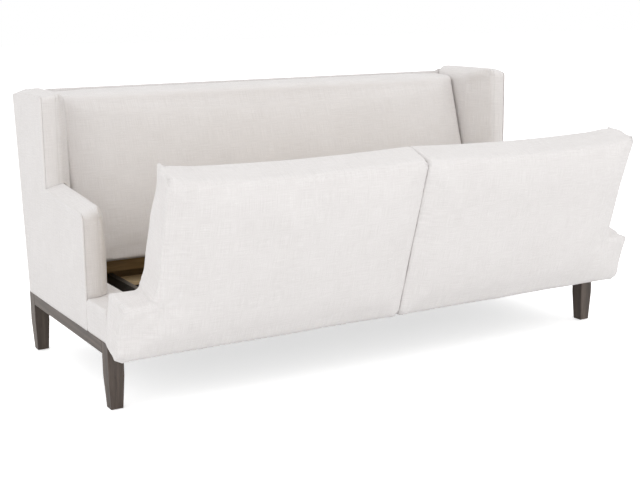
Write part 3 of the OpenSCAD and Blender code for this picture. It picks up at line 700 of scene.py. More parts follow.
# Plan shift: the side and the rear edge draw in between the corners, the rear outer
# corner stands out in a point, and the side flares into the ear's rounded inner corner
def drawSeat(x, y):
    care = seatCare
    mid = (care["inX"] + care["sideX"]) / 2
    run = np.clip((x - care["inX"]) / (care["sideX"] - care["inX"]), 0, 1)
    outer = np.clip((x - mid) / (care["sideX"] - mid), 0, 1.2)
    pullX = care["drawnIn"] * np.sin(math.pi * y / care["depth"]) * outer
    pullY = care["rearDrawnIn"] * np.sin(math.pi * run) * np.maximum(0, 2 * y / care["depth"] - 1)
    corner = np.hypot(x - care["sideX"], y - care["depth"])
    point = care["cornerPoint"] * np.clip(1 - corner / care["cornerReach"], 0, 1) ** 1.2
    near = np.hypot(x - care["sideX"], y - care["earDepth"])
    fill = care["filletFill"] * care["fillet"] * (1 - np.clip(near / care["fillet"], 0, 1)) ** 1.3
    flare = care["flare"] * ease(1 - np.maximum(y - care["earDepth"], 0) / care["flareReach"])
    flare = flare * ease((x - 0.6) / 0.27) * (1 - ease((x - care["sideX"]) / 0.08))
    return x - pullX + fill + flare, y - pullY + point + fill


# The drawn edge of the T-shaped half as a dense outline
def seatOutline():
    care = seatCare
    inX, sideX, earX, depth, earDepth = (
        care[k] for k in ("inX", "sideX", "earX", "depth", "earDepth")
    )
    corners = np.array([
        [inX, 0], [earX, 0], [earX, earDepth], [sideX, earDepth], [sideX, depth], [inX, depth],
    ])
    outline = []
    for a, b in zip(corners, np.roll(corners, -1, 0)):
        count = int(np.linalg.norm(b - a) / 0.003)
        outline.append(a + (b - a) * (np.arange(count) / count)[:, None])
    outline = np.concatenate(outline)
    return np.stack(drawSeat(outline[:, 0], outline[:, 1]), 1)


# Plan grid of the T at an inset from its edge: a rectangle less the corner behind the ear
def seatGrid(inset):
    care = seatCare
    bodyColumns, earRows = 150, 30
    xs = np.concatenate([
        np.linspace(care["inX"] + care["split"], care["sideX"] - inset, bodyColumns),
        np.linspace(care["sideX"] - inset, care["earX"] - inset, 20)[1:],
    ])
    ys = np.concatenate([
        np.linspace(inset, care["earDepth"] - inset, earRows),
        np.linspace(care["earDepth"] - inset, care["depth"] - inset, 68)[1:],
    ])
    x, y = allPairs(xs, ys)
    quads = gridQuads(len(xs), len(ys))
    row, column = quads[:, 0] // len(ys), quads[:, 0] % len(ys)
    return x, y, quads[~((row >= bodyColumns - 1) & (column >= earRows - 1))]


# The skin that is blown up: a crowned top with rolled edges, swelling walls, and a flat
# underside that is drawn too low and pressed up to its place at the end
def seatShell():
    care = seatCare
    x, y, quads = seatGrid(-care["outset"])
    d = np.maximum(seatEdge(x, y, -care["outset"]), 0)
    c = 1 - np.minimum(1, d / care["crownReach"])
    z = care["thick"] - rolled(d, care["rounding"]) + care["crown"] * (1 - c**2)
    upper = np.stack([*drawSeat(x, y), z], 1)
    x, y, quads = seatGrid(0.0)
    lower = np.stack([*drawSeat(x, y), np.full_like(x, -0.010)], 1)
    return closedShell(upper, lower, quads, 16, 0.003)


# For each point: how far inside the drawn edge it lies, the nearest place on that edge,
# and the direction outwards there, smoothed over nine points of the outline
def edgeNear(at):
    outline = seatOutline()
    steps = np.roll(outline, -1, 0) - np.roll(outline, 1, 0)
    outward = np.stack([steps[:, 1], -steps[:, 0]], 1) / np.linalg.norm(steps, axis=1)[:, None]
    outward = sum(np.roll(outward, k, 0) for k in range(-4, 5))
    outward /= np.linalg.norm(outward, axis=1)[:, None]
    lengths = np.linalg.norm(np.roll(outline, -1, 0) - outline, axis=1)
    starts = np.concatenate([[0], np.cumsum(lengths)])
    inside, along = outlineDistance(at, outline)
    place, way = (
        np.stack([np.interp(along, starts, np.append(values[:, k], values[0, k])) for k in range(2)], 1)
        for values in (outline, outward)
    )
    return inside, place, way


# Holds the cover's lower wall out at the drawn edge, so that it goes round the board,
# and fills the walls out from there: each point near the edge moves square to it
def filledOut(points, normals):
    care = wallCare
    inside, place, way = edgeNear(points[:, :2])
    z = points[:, 2]
    upright = ease((0.9 - np.abs(normals[:, 2])) / 0.4)
    share = ease((care["held"] - z) / care["heldFade"]) * upright
    share = share * (np.abs(inside) < care["near"])
    points[:, :2] += (place - points[:, :2]) * share[:, None]
    right, back = way[:, 0], way[:, 1]
    rear = ease((points[:, 1] - care["lowEnd"]) / care["lowFade"]) * (points[:, 0] > 0.5)
    low = np.outer(1 - rear, care["low"])
    high, top = (np.outer(np.ones(len(z)), care[k]) for k in ("high", "top"))
    full = low + (high - low) * ease(z / care["highFrom"])[:, None]
    full = full + (top - high) * ease((z - care["topFrom"]) / care["topFade"])[:, None]
    toward = np.stack([right, -back, back, -right], 1)
    full = (full * np.clip(toward, 0, 1) ** 2).sum(1) * (1 + care["corner"] * np.abs(right * back))
    fade = ease((care["inward"] - inside) / care["inwardFade"]) * ease((z + 0.001) / 0.004)
    points[:, :2] += way * (full * fade)[:, None]
    return points


# Seams, puckers and soft wrinkles, pressed into the blown-up cover along its normals
def pressedSeams(points, normals, seed):
    seat, care = seatCare, seamCare
    x, y, z = points.T
    angle = np.degrees(np.arcsin(np.clip(normals[:, 2], -1, 1)))
    away = np.radians(angle - care["angle"]) * seat["rounding"] * care["spread"]
    onSide = ease((z - care["from"]) / care["fade"])
    around = np.where(np.abs(normals[:, 0]) > np.abs(normals[:, 1]), y, x)
    seam = np.exp(-((away / care["width"]) ** 2)) * onSide
    gather = np.sin(2 * math.pi * around / care["puckerLength"] + 3 * ripple(points, 0.09, seed, 4))
    patchy = 0.5 + 0.5 * ripple(points, 0.22, seed + 1, 5)
    fade = np.exp(-((away / care["puckerReach"]) ** 2)) * onSide * patchy
    wrinkle = uneven(points, (0.21, 0.085), (0.6, 0.25), seed + 2, longBy=[1, 1, 0.4])
    lift = wrinkle * care["wrinkle"] * ease(z / care["wrinkleFrom"])
    lift += gather * fade * care["pucker"] - seam * care["depth"]
    notch = np.hypot(x - seat["sideX"], y - seat["earDepth"])
    rays = np.sin(7 * np.arctan2(y - seat["earDepth"], x - seat["sideX"]) + 1)
    ring = np.exp(-((notch - care["rayAt"]) / care["rayWidth"]) ** 2)
    lift += rays * care["ray"] * ring * ease((z - 0.03) / 0.05)
    return points + normals * lift[:, None]


# The rear outer corner drawn out to a dog ear, most by the board
def dogEared(points, side):
    seat, care = seatCare, seamCare
    near = np.hypot(points[:, 0] - seat["sideX"] - 0.004, points[:, 1] - seat["depth"])
    rise = 1 - ease((points[:, 2] - 0.02) / (care["dogEarHigh"] - 0.02))
    rise = rise * np.exp(-((near / care["dogEarReach"]) ** 2)) * care["dogEar"][side]
    points[:, 0] += rise * 0.4
    points[:, 1] += rise
    return points


# Keeps the cover clear of the other seat, the arm, the back and the deck
def keptClear(points):
    care = clearCare
    middle = care["middle"] + care["middleWave"] * np.sin(points[:, 1] * 41)
    points[:, 0] = np.maximum(points[:, 0], middle)
    front = np.clip((care["frontEnd"] - points[:, 1]) / care["frontFade"], 0, 1) ** 2
    side = np.minimum(points[:, 0], care["side"] + care["sideFront"] * front)
    points[:, 0] = np.where(points[:, 1] > care["sideFrom"], side, points[:, 0])
    rear = np.minimum(points[:, 1], care["rear"] + care["rearLean"] * np.maximum(points[:, 2], 0))
    points[:, 1] = np.where(points[:, 0] < care["rearEnd"], rear, points[:, 1])
    points[:, 2] = np.maximum(points[:, 2], care["under"])
    return points


def finishSeat(points, normals, seed, side):
    points = pressedSeams(filledOut(points, normals), normals, seed)
    points = keptClear(dogEared(points, side))
    print("seat cover", side, "from", points.min(0).round(4), "to", points.max(0).round(4))
    return points


def finishMesh(mesh, change):
    points = read(mesh.vertices, "co", 3)
    normals = read(mesh.vertex_normals, "vector", 3)
    rewrite(mesh, change(points, normals))


# Carries a finished piece of a seat from lying flat to its place in the tipped seat
def tipMesh(obj):
    rewrite(obj.data, tipSeat(read(obj.data.vertices, "co", 3)))


seatSkin, seatQuads = seatShell()
rightSeat = stuffed(
    "seat_cover_right", seatSkin, seatQuads, seatCare, lambda p: (p[:, 2] < 0.003) * 1.0
)
leftSeat = mirrored("seat_cover_left", rightSeat.data)
flipX = np.array([-1.0, 1.0, 1.0])
finishMesh(rightSeat.data, lambda p, n: finishSeat(p, n, 11, "right"))
finishMesh(leftSeat.data, lambda p, n: finishSeat(p * flipX, n * flipX, 47, "left") * flipX)
for obj, side, shift in ((rightSeat, "right", 0.65), (leftSeat, "left", 0.52)):
    dress(obj, linenSeat, f"seat_{side}", [f"seat_cushion_{side}"], shift)
    tipMesh(obj)
print("seats covered")


# The cover's edge turned under each board, with its row of staples
turnCare = {
    "width": 0.026, "waver": 0.0012, "thick": (0.00003, 0.00022), "step": 0.012,
    "front": 0.008, "ear": 0.004, "rear": 0.014,      # how far in from the cover's edge it lies
    "stapleEvery": 0.045, "stapleLong": 0.011, "stapleWire": 0.0007, "stapleAt": 0.6,
    "stapleThick": (0.00002, 0.00027), "stapleTurn": (0.94, 0.34),     # along the side, inwards
}


# The board's corners, and from each to the next one: length, direction, direction inwards
def boardSides():
    care, seat = turnCare, seatCare
    near, far, rear = seat["inX"] + care["front"], care["front"], seat["depth"] - care["rear"]
    earX, earY = seat["earX"] - care["ear"], seat["earDepth"] - care["ear"]
    sideX = seat["sideX"] - far
    board = np.array([
        [near, far], [earX, far], [earX, earY], [sideX, earY], [sideX, rear], [near, rear],
    ])
    along = np.roll(board, -1, 0) - board
    length = np.linalg.norm(along, axis=1)
    unit = along / length[:, None]
    return board, length, unit, np.stack([-unit[:, 1], unit[:, 0]], 1)


# A strip as wide as the turning, its inner edge wavering, mitred at the board's corners
def turnedEdge(side, sign):
    care = turnCare
    board, length, _, inward = boardSides()
    before = np.roll(inward, 1, 0)
    mitre = (inward + before) / (1 + (inward * before).sum(1))[:, None]
    outer, inner = [], []
    for i in range(len(board)):
        j = (i + 1) % len(board)
        t = np.linspace(0, 1, max(2, int(length[i] / care["step"])), endpoint=False)[:, None]
        width = care["width"] + care["waver"] * np.sin(37 * (length[:i].sum() + t * length[i]))
        outer.append(board[i] * (1 - t) + board[j] * t)
        inner.append((board[i] + mitre[i] * width) * (1 - t) + (board[j] + mitre[j] * width) * t)
    ring = np.stack([np.concatenate(outer), np.concatenate(inner)], 1)
    upper, lower = (
        np.insert(ring.reshape(-1, 2), 2, -level, axis=1) for level in care["thick"]
    )
    points, faces = closedShell(upper, lower, gridQuads(len(ring), 2, closeRows=True))
    strip = linked(f"seat_turned_edge_{side}", makeMesh("turned", points * [sign, 1, 1], faces))
    if sign < 0:
        strip.data.flip_normals()
    dress(strip, linenSeat, f"seat_{side}")
    tipMesh(strip)


# Staples at even steps along each side, turned a little one way and the other: each is
# a box, its two ends the same four corners in turn
def stapleRow(side, sign):
    care = turnCare
    middle, direction = [], []
    ahead, aside = care["stapleTurn"]
    for start, length, unit, inward in zip(*boardSides()):
        k = np.arange(int(length / care["stapleEvery"]))[:, None]
        t = (k + 0.5) / len(k)
        middle.append(start + unit * length * t + inward * (care["width"] * care["stapleAt"]))
        direction.append(unit * ahead + inward * aside * (-1) ** k)
    middle, direction = np.concatenate(middle), np.concatenate(direction)
    direction /= np.linalg.norm(direction, axis=1)[:, None]
    across = np.stack([-direction[:, 1], direction[:, 0]], 1)
    top, bottom = care["stapleThick"]
    wide = care["stapleWire"] / 2 * np.array([-1, -1, 1, 1])
    height = np.array([-top, -bottom, -bottom, -top])
    reach = care["stapleLong"] / 2 * np.array([-1, 1])
    flat = middle[:, None, None] + direction[:, None, None] * reach[:, None, None]
    flat = flat + across[:, None, None] * wide[:, None]
    points = np.concatenate([flat, np.broadcast_to(height[:, None], (*flat.shape[:3], 1))], 3)
    box = np.array([
        [0, 1, 5, 4], [1, 2, 6, 5], [2, 3, 7, 6], [3, 0, 4, 7], [0, 3, 2, 1], [4, 5, 6, 7],
    ])
    faces = (8 * np.arange(len(middle))[:, None, None] + box).reshape(-1, 4)
    points = points.reshape(-1, 3) * [sign, 1, 1]
    wires = linked(f"seat_staples_{side}", makeMesh("staples", points, faces))
    if sign > 0:
        wires.data.flip_normals()
    dress(wires, zinc, f"seat_{side}", weave=False)
    tipMesh(wires)


for side, sign in (("right", 1), ("left", -1)):
    turnedEdge(side, sign)
    stapleRow(side, sign)
print("edges turned under the boards")


# Tight back

backCare = {
    "half": 0.866, "bottom": low("back_pad").z, "top": topZ, "setback": 0.560, "lean": 16.7,
    "padding": 0.060, "cap": 0.031, "crown": 0.010, "rounding": 0.034, "skin": 0.006,
    "endPull": 0.009, "endDip": 0.004,      # how far the face and the top draw in at the ends
    "inset": 0.005,                         # what the skin lacks before it is blown up
    "wrinkle": 0.0012, "clear": 0.0006,
    # under the wings its ends reach on to the arm pads, lying back a little
    "tongue": 0.026, "tongueTop": 0.598, "tongueBack": 0.012,
    "cell": 0.010, "reach": 0.008, "bend": 0.5, "settle": 16, **coverCare,
}
bodyCare = {"depth": 0.802, "rearLean": 5.9}      # of the base, and of all that leans behind
backLean = math.tan(math.radians(bodyCare["rearLean"]))


# Where the outside back lies at a height
def rearY(z):
    return frontY + bodyCare["depth"] + (z - baseTop) * backLean


# Where the face of the back pad lies at a height, before it swells
def faceY(z):
    care = backCare
    return frontY + care["setback"] + (z - care["bottom"]) * math.tan(math.radians(care["lean"]))


# One upright section of the back at x: a leaning slab whose top caps the rail behind it
def backSection(x):
    care, inset, r, clear = backCare, backCare["inset"], backCare["rounding"], backCare["clear"]
    t = min(1.0, abs(x) / care["half"])
    swell = care["crown"] * (1 - t**4) - inset
    pull = care["endPull"] * t**14
    top = care["top"] - care["endDip"] * t**8 - inset * 0.8
    bottom = care["bottom"] + 0.001
    s = np.linspace(1, 0, 60)
    z = bottom + (top - r - bottom) * s
    arch = np.sin(math.pi * s) ** 0.7
    face = np.stack([faceY(z) + pull - swell * arch + inset * (1 - arch), z], 1)
    turn = np.radians(np.linspace(90, 180, 10))
    centre = np.array([faceY(top - r) + r + pull + inset, top - r])
    edge = centre + r * np.stack([np.cos(turn), np.sin(turn)], 1)
    cap = care["top"] - care["cap"] + 0.0008
    slab = np.array([
        [faceY(bottom) + care["padding"] - clear, bottom],
        [faceY(cap) + care["padding"] - clear, cap],
        [rearY(cap) - care["skin"] - clear, cap],
        [rearY(top) - care["skin"] - clear, top],
    ])
    return evenly(np.concatenate([face, slab, edge]), 150)


# The same number of points at even steps round a closed outline
def evenly(outline, count):
    loop = np.concatenate([outline, outline[:1]])
    run = np.concatenate([[0], np.cumsum(np.linalg.norm(np.diff(loop, axis=0), axis=1))])
    at = np.linspace(0, run[-1], count, endpoint=False)
    return np.stack([np.interp(at, run, loop[:, k]) for k in range(2)], 1)


# A solid through closed rings, each end gathered into its middle
def loft(rings):
    first = np.repeat(rings[:1].mean(1, keepdims=True), rings.shape[1], 1)
    last = np.repeat(rings[-1:].mean(1, keepdims=True), rings.shape[1], 1)
    half1, half2 = (first + rings[:1]) / 2, (last + rings[-1:]) / 2
    rings = np.concatenate([first, half1, rings, half2, last])
    return rings.reshape(-1, 3), gridQuads(rings.shape[0], rings.shape[1], closeColumns=True)


# The sections side by side, blown up but for the back of the slab and the cap
def makeBack():
    care = backCare
    xs = np.linspace(-care["half"] + 0.001, care["half"] - 0.001, 220)
    points, quads = loft(np.array([np.insert(backSection(x), 0, x, axis=1) for x in xs]))
    slabY = lambda z: faceY(z) + care["padding"]

    def held(p):
        onSlab = (p[:, 1] > slabY(p[:, 2]) - 0.012) & (p[:, 2] < care["top"] - 0.02)
        return (onSlab | (p[:, 1] > rearY(p[:, 2]) - 0.016)) * 1.0

    def finish(p, n):
        wave = uneven(p, (0.26, 0.10), (0.7, 0.22), 71, longBy=[0.55, 1, 1])
        inFront = ease((slabY(p[:, 2]) - 0.02 - p[:, 1]) / 0.03)
        p = p + n * (wave * care["wrinkle"] * inFront)[:, None]
        p[:, 0] = np.clip(p[:, 0], -care["half"] - 0.0012, care["half"] + 0.0012)
        atEnd = ease((np.abs(p[:, 0]) - care["half"] + 0.026) / 0.024)
        under = atEnd * ease((care["tongueTop"] - p[:, 2]) / 0.012)
        p[:, 0] += np.sign(p[:, 0]) * care["tongue"] * under
        p[:, 1] += care["tongueBack"] * under * ease((slabY(p[:, 2]) - p[:, 1]) / 0.03)
        p[:, 1] = np.minimum(p[:, 1], rearY(p[:, 2]) - care["skin"] - 0.0004)
        p[:, 2] = np.maximum(p[:, 2], care["bottom"])
        return p

    obj = stuffed("tight_back", points, quads, care, held)
    finishMesh(obj.data, finish)
    return dress(obj, linenBody, nodes=["back_pad"])


makeBack()
print("back stuffed")


# Arms and wings

sideCare = {
    "rise": 0.268,           # from the deck to the top of an arm at its front
    "climb": 0.034,          # how much higher that top is at the wing
    "border": 0.012, "padRounding": 0.024, "skin": 0.006,
    "armNose": 0.046, "wingNose": 0.100, "noseWidth": 0.005,    # how far a front curves back
    "armPower": 2.0, "wingPower": 2.2,
    "armTurn": 0.016, "wingTurn": 0.009,     # how softly the front turns into the inside
    "armBulge": 0.004, "armCrown": 0.012, "armFront": 0.011, "wingCrown": 0.008,
    "armSeam": 0.0004, "wingSeam": 0.0010,   # depth of the seam between border and pad
    "armCorner": 0.022, "wingCorner": 0.018,
    "weltRoll": 0.0038, "armTopRoll": 0.0015, "wingTopRoll": 0.003,     # of the borders' outer edges
    "armSwellFrom": 0.56, "wingSwellFrom": 0.9,      # only what is higher swells as a top does
    "wrinkle": 0.0009,
}
armFrontTop = deckZ + sideCare["rise"]
armBackTop = armFrontTop + sideCare["climb"]


# How far the front of an arm or wing lies back at x: level across the border, then
# turning softly into the face of the inside pad
def frontBack(x, inner, nose, power, turn):
    reach = timberIn - inner - sideCare["noseWidth"]
    share = np.maximum((x - inner) / reach, 0)
    raw = nose * (1 - share ** (1 / power))
    return (raw + np.sqrt(raw**2 + turn**2)) / 2 - turn * 0.02


# Depth of the seam between border and inside pad, most where they meet
def seamAt(x, depth):
    return depth * np.exp(-(((x - timberIn) / 0.0035) ** 2))


# Height of the top of an arm at y: level with its front end, then a steady climb
def armTop(y):
    return armFrontTop + sideCare["climb"] * np.clip((y - armY) / (wingY - armY), 0, 1)


# The most that the top of an arm swells at y: its front end is the fuller
def armMost(y):
    return sideCare["armCrown"] + sideCare["armFront"] * (1 - ease((y - armY) / (wingY - armY)))


# The same for a wing, whose top swells evenly
def wingMost(y):
    return np.full_like(y, sideCare["wingCrown"])


# How far the top of an arm or wing swells at x: from nothing at the outer seam, most
# towards the inside, and a little less at the inner edge
def crownAt(x, inner, most):
    across = (half - x) / (half - inner)
    return most * ease(across / 0.72) ** 0.8 * (1 - 0.25 * ease((across - 0.75) / 0.25))


# Upright section of an inside pad in X and Z: a swelling face, a rolled top edge, and
# straight lines behind
def padSection(y, inX, outX, z0, z1, r, bulge):
    t = np.linspace(0, 1, 40)
    face = np.stack([inX - bulge * np.sin(math.pi * t), z0 + (z1 - r - z0) * t], 1)
    turn = np.radians(np.linspace(180, 90, 9))[1:]
    edge = np.array([inX + r, z1 - r]) + r * np.stack([np.cos(turn), np.sin(turn)], 1)
    outline = evenly(np.concatenate([face, edge, [[outX, z1], [outX, z0]]]), 110)
    depth = np.broadcast_to(y(outline[:, 1]), len(outline))
    return np.stack([outline[:, 0], depth, outline[:, 1]], 1)


padCare = {
    "inset": 0.003,          # what a pad's face lacks before it is blown up
    "pastSeam": 0.009,       # pads start this far past the seam and are cut back to it
    "below": 0.009,          # and this far below their foot
    "railGap": 0.0105,       # what the arm pad leaves free in front of the rail behind it
    "out": 0.0034, "outHigh": 0.005,         # the most its face stands out, and more higher up
    "reachDown": 0.022,      # how far the wing pad reaches down beside the arm's rolled edge
    "arm": {"cell": 0.0055, "reach": 0.006, "bend": 0.4, "settle": 12, **coverCare},
    "wing": {"cell": 0.0055, "reach": 0.007, "bend": 0.4, "settle": 12, **coverCare},
}
pastSeam = timberIn + padCare["pastSeam"]
seamX = timberIn - 0.0002


# Depths below a rounded front corner of the top, at a distance back from the front
def cornerDrop(back, r):
    return r - np.sqrt(np.maximum(r**2 - np.maximum(r - back, 0) ** 2, 0))


# Sections of an inside pad from front to back: the first ones follow the curve in which
# the front turns into the inside, the others stand behind one another
def padRings(inner, nose, power, turn, depth, corner, bulge, z0, top, lean):
    faceX = inner + padCare["inset"]
    inX = faceX + (pastSeam - inner - padCare["inset"]) * np.linspace(1, 0, 34) ** 1.5
    back = frontBack(inX - padCare["inset"], inner, nose, power, turn)
    back = np.concatenate([back, np.linspace(back[-1], depth, 60)[1:]])
    inX = np.concatenate([inX, np.full(59, faceX)])
    rings = []
    for x, s in zip(inX, back):
        r = min(sideCare["padRounding"], pastSeam - x + 0.0005)
        z1 = top(s) - cornerDrop(s, corner)
        y = lambda z: s + (z - z0) * lean * s / depth
        foot = z0 - padCare["below"]
        rings.append(padSection(y, x, pastSeam, foot, z1, r, bulge * ease(s / nose)))
    return loft(np.array(rings))


# Blows up the inside pad that stands at y with its front, and lays it within its limits
def makePad(name, pad, y, sizes, held, limit):
    points, quads = padRings(*sizes)
    points[:, 1] += y
    obj = stuffed(name, points, quads, pad, held)
    points = read(obj.data.vertices, "co", 3)
    limit(points)
    rewrite(obj.data, points)
    obj.data.set_sharp_from_angle(angle=1.0)
    return obj


def makeArmPad():
    care = sideCare
    z0 = deckZ + 0.0004
    back = low("rear_seat_rail").y - padCare["railGap"] - armY
    sizes = (armInner, *(care[k] for k in ("armNose", "armPower", "armTurn")), back,
             care["armCorner"], care["armBulge"], z0, lambda s: armTop(armY + s), 0)

    def held(p):
        behind = p[:, 1] > armY + back - 0.01
        return ((p[:, 0] > seamX - 0.004) | (p[:, 2] < z0 + 0.002) | behind) * 1.0

    # low down it makes room for the seat, higher up it may stand out more
    def limit(p):
        above = ease((p[:, 2] - deckZ - seatCare["thick"]) / 0.06)
        closest = armInner - padCare["out"] - padCare["outHigh"] * above
        p[:, 0] = np.clip(p[:, 0], closest, seamX)
        p[:, 1] = np.clip(p[:, 1], armY - 0.002, armY + back + 0.001)
        p[:, 2] = np.maximum(p[:, 2], z0)

    return makePad("arm_pad_right_cover", padCare["arm"], armY, sizes, held, limit)


# Height of what the wing pad stands on at x: the arm's top, and beside it the roll of
# the arm's inner edge, where the pad reaches down a little
def wingFloor(x):
    care = sideCare
    rise = crownAt(x, armInner, care["armCrown"])
    roll = cornerDrop(np.maximum(x - armInner, 0), care["padRounding"])
    return armBackTop + rise + 0.0006 - np.minimum(roll, padCare["reachDown"])


def makeWingPad():
    care = sideCare
    z0 = armBackTop + 0.0006
    depth = rearY(z0) - care["skin"] - wingY - 0.004
    sizes = (wingInner, *(care[k] for k in ("wingNose", "wingPower", "wingTurn")), depth,
             care["wingCorner"], 0, z0 - padCare["reachDown"], lambda s: topZ, backLean)

    def held(p):
        behind = p[:, 1] > rearY(p[:, 2]) - care["skin"] - 0.01
        return ((p[:, 0] > seamX - 0.004) | (p[:, 2] < wingFloor(p[:, 0]) + 0.002) | behind) * 1.0

    def limit(p):
        p[:, 0] = np.clip(p[:, 0], wingInner - 0.0016, seamX)
        p[:, 1] = np.maximum(p[:, 1], wingY - 0.002)
        p[:, 1] = np.minimum(p[:, 1], rearY(p[:, 2]) - care["skin"] - 0.0004)
        p[:, 2] = np.maximum(p[:, 2], wingFloor(p[:, 0]))

    return makePad("wing_pad_right_cover", padCare["wing"], wingY, sizes, held, limit)


# Swells the top of an arm or wing, lets its face wander a little, and lays it flush
# with the border where the two meet
def finishSide(p, n, inner, most, level, seed, path, profile, seam):
    inward = ease((seamX - p[:, 0]) / 0.02)
    p = p + n * (ripple(p, 0.17, seed, 9) * sideCare["wrinkle"] * inward)[:, None]
    normal, away = nearestOn(path, p[:, 1:])
    front = np.clip(-normal[:, 0], 0, 1) ** 2
    upness = np.clip(normal[:, 1], 0, 1) ** 2
    crown = crownAt(p[:, 0], inner, most(p[:, 1]))
    target = crown * upness - frontBack(p[:, 0], *profile) * front
    target = target - seamAt(p[:, 0], seam)
    facing = n[:, 1] * normal[:, 0] + n[:, 2] * normal[:, 1]
    share = ease((p[:, 0] - seamX + 0.034) / 0.026) * ease((facing - 0.25) / 0.3)
    share = share * ease((0.026 - np.abs(target - away)) / 0.012)
    p[:, 1:] += normal * ((target - away) * share)[:, None]
    topness = np.clip(n[:, 2], 0, 1) ** 2 * (p[:, 2] > level) * (1 - share)
    p[:, 2] += crown * topness
    return p


# An open path's outward normal at the place nearest to each point, and how far the
# point stands out from that place
def nearestOn(path, at):
    best = np.full(len(at), 1e9)
    near, normal = np.zeros_like(at), np.zeros_like(at)
    for a, b in zip(path, path[1:]):
        along = b - a
        t = np.clip((at - a) @ along / (along @ along), 0, 1)
        place = a + t[:, None] * along
        gap = np.linalg.norm(at - place, axis=1)
        closer = gap < best
        best[closer] = gap[closer]
        near[closer] = place[closer]
        normal[closer] = np.array([-along[1], along[0]]) / np.linalg.norm(along)
    return normal, ((at - near) * normal).sum(1)


# A strip of cover carried along a path in Y and Z, from the seam with the inside pad
# out to the rolled seam with the outside panel
def carriedStrip(name, path, thick, inner, most, profile, seam, seed, topRoll):
    run = np.concatenate([[0], np.cumsum(np.linalg.norm(np.diff(path, axis=0), axis=1))])
    at = np.linspace(0, run[-1], int(run[-1] / 0.005))
    path = np.stack([np.interp(at, run, path[:, k]) for k in range(2)], 1)
    along = np.gradient(path, axis=0)
    along /= np.linalg.norm(along, axis=1)[:, None]
    normal = np.stack([-along[:, 1], along[:, 0]], 1)
    xs = np.concatenate([
        timberIn + np.array([0.0001, 0.0006, 0.0015, 0.0027, 0.0042]),
        np.linspace(timberIn + 0.007, timberOut - edgeStrip, 9),
        timberOut - edgeStrip * edgeSteps[::-1],
    ])
    x, k = allPairs(xs, np.arange(len(path)))
    away = timberOut - x
    upness = np.clip(normal[k, 1], 0, 1) ** 2
    front = np.clip(-normal[k, 0], 0, 1) ** 2
    lift = -rolled(away, sideCare["weltRoll"] * (1 - upness) + topRoll * upness)
    place = np.stack([x, path[k, 0], path[k, 1]], 1)
    loose = ease((x - timberIn) / 0.01) * ease(away / 0.012)
    lift += ripple(place, 0.15, seed, 7) * sideCare["wrinkle"] * loose
    lift += crownAt(x, inner, most(place[:, 1])) * upness
    lift -= frontBack(x, *profile) * front + seamAt(x, seam)
    square = np.insert(normal[k], 0, 0, axis=1)
    outer, under = place + square * lift[:, None], place - square * thick
    points, faces = closedShell(outer, under, gridQuads(len(xs), len(path)), 3)
    strip = linkedSkin(name, points, faces)
    strip.data.set_sharp_from_angle(angle=1.0)
    return strip


# From facing forwards, which is 180 degrees, round to the angle given
def cornerArc(y, z, r, end):
    turn = np.radians(np.linspace(180, end, 10))
    return [[y + r * math.cos(a), z + r * math.sin(a)] for a in turn]


# Outlines of the borders in Y and Z: up the front, round a corner and back along the top
def makePaths():
    care = sideCare
    slope = math.degrees(math.atan(care["climb"] / (wingY - armY)))
    r = care["armCorner"]
    z = armFrontTop - r + r * math.tan(math.radians(slope))
    arm = [
        [armY, low("arm_border_right").z],
        *cornerArc(armY + r, z, r, 90 + slope),
        [wingY - 0.0001, armBackTop],
    ]
    r = care["wingCorner"]
    wing = [
        [wingY + 0.0002, armBackTop - care["border"]],
        *cornerArc(wingY + r, topZ - r, r, 90),
        [rearY(topZ) - care["skin"] - 0.0002, topZ],
    ]
    return np.array(arm), np.array(wing)


armPath, wingPath = makePaths()
armProfile = (armInner, *(sideCare[k] for k in ("armNose", "armPower", "armTurn")))
wingProfile = (wingInner, *(sideCare[k] for k in ("wingNose", "wingPower", "wingTurn")))


# Moves grid points so that a square corner becomes a round one; u and v are the
# distances from the corner's two edges
def roundCorner(u, v, r):
    ru, rv = r - np.minimum(u, r), r - np.minimum(v, r)
    far = np.hypot(ru, rv)
    k = np.where(far > 1e-9, np.maximum(ru, rv) / np.maximum(far, 1e-9), 1.0)
    both = (ru > 0) & (rv > 0)
    return np.where(both, r - ru * k, u), np.where(both, r - rv * k, v)


panelCare = {"roll": 0.0055, "wander": 0.0007, "armRound": 0.020, "wingRound": 0.016}


# Distances along Y of the rows and heights of the columns of the outside panel's grid,
# all closer together where an edge rolls over; the wing's rows are shares of its depth
def panelGrid():
    wingDepth, lowEnd, highEnd = 0.26, 0.02, 0.026      # near enough, for the spacing alone
    ends = edgeStrip * edgeSteps
    armRun = np.concatenate([ends, np.linspace(edgeStrip, wingY - armY, 56)])
    strip = edgeStrip / wingDepth
    wingShare = np.concatenate([
        ends / wingDepth, np.linspace(strip, 1 - strip, 42), 1 - ends[::-1] / wingDepth,
    ])
    lower = np.concatenate([
        np.linspace(0, 1, 62)[:-1] * (1 - lowEnd), 1 - lowEnd * edgeSteps[::-1],
    ])
    upper = np.concatenate([
        np.linspace(0, 1, 50)[1:-1] * (1 - highEnd), 1 - highEnd * edgeSteps[::-1],
    ])
    return armRun, wingShare, lower, upper


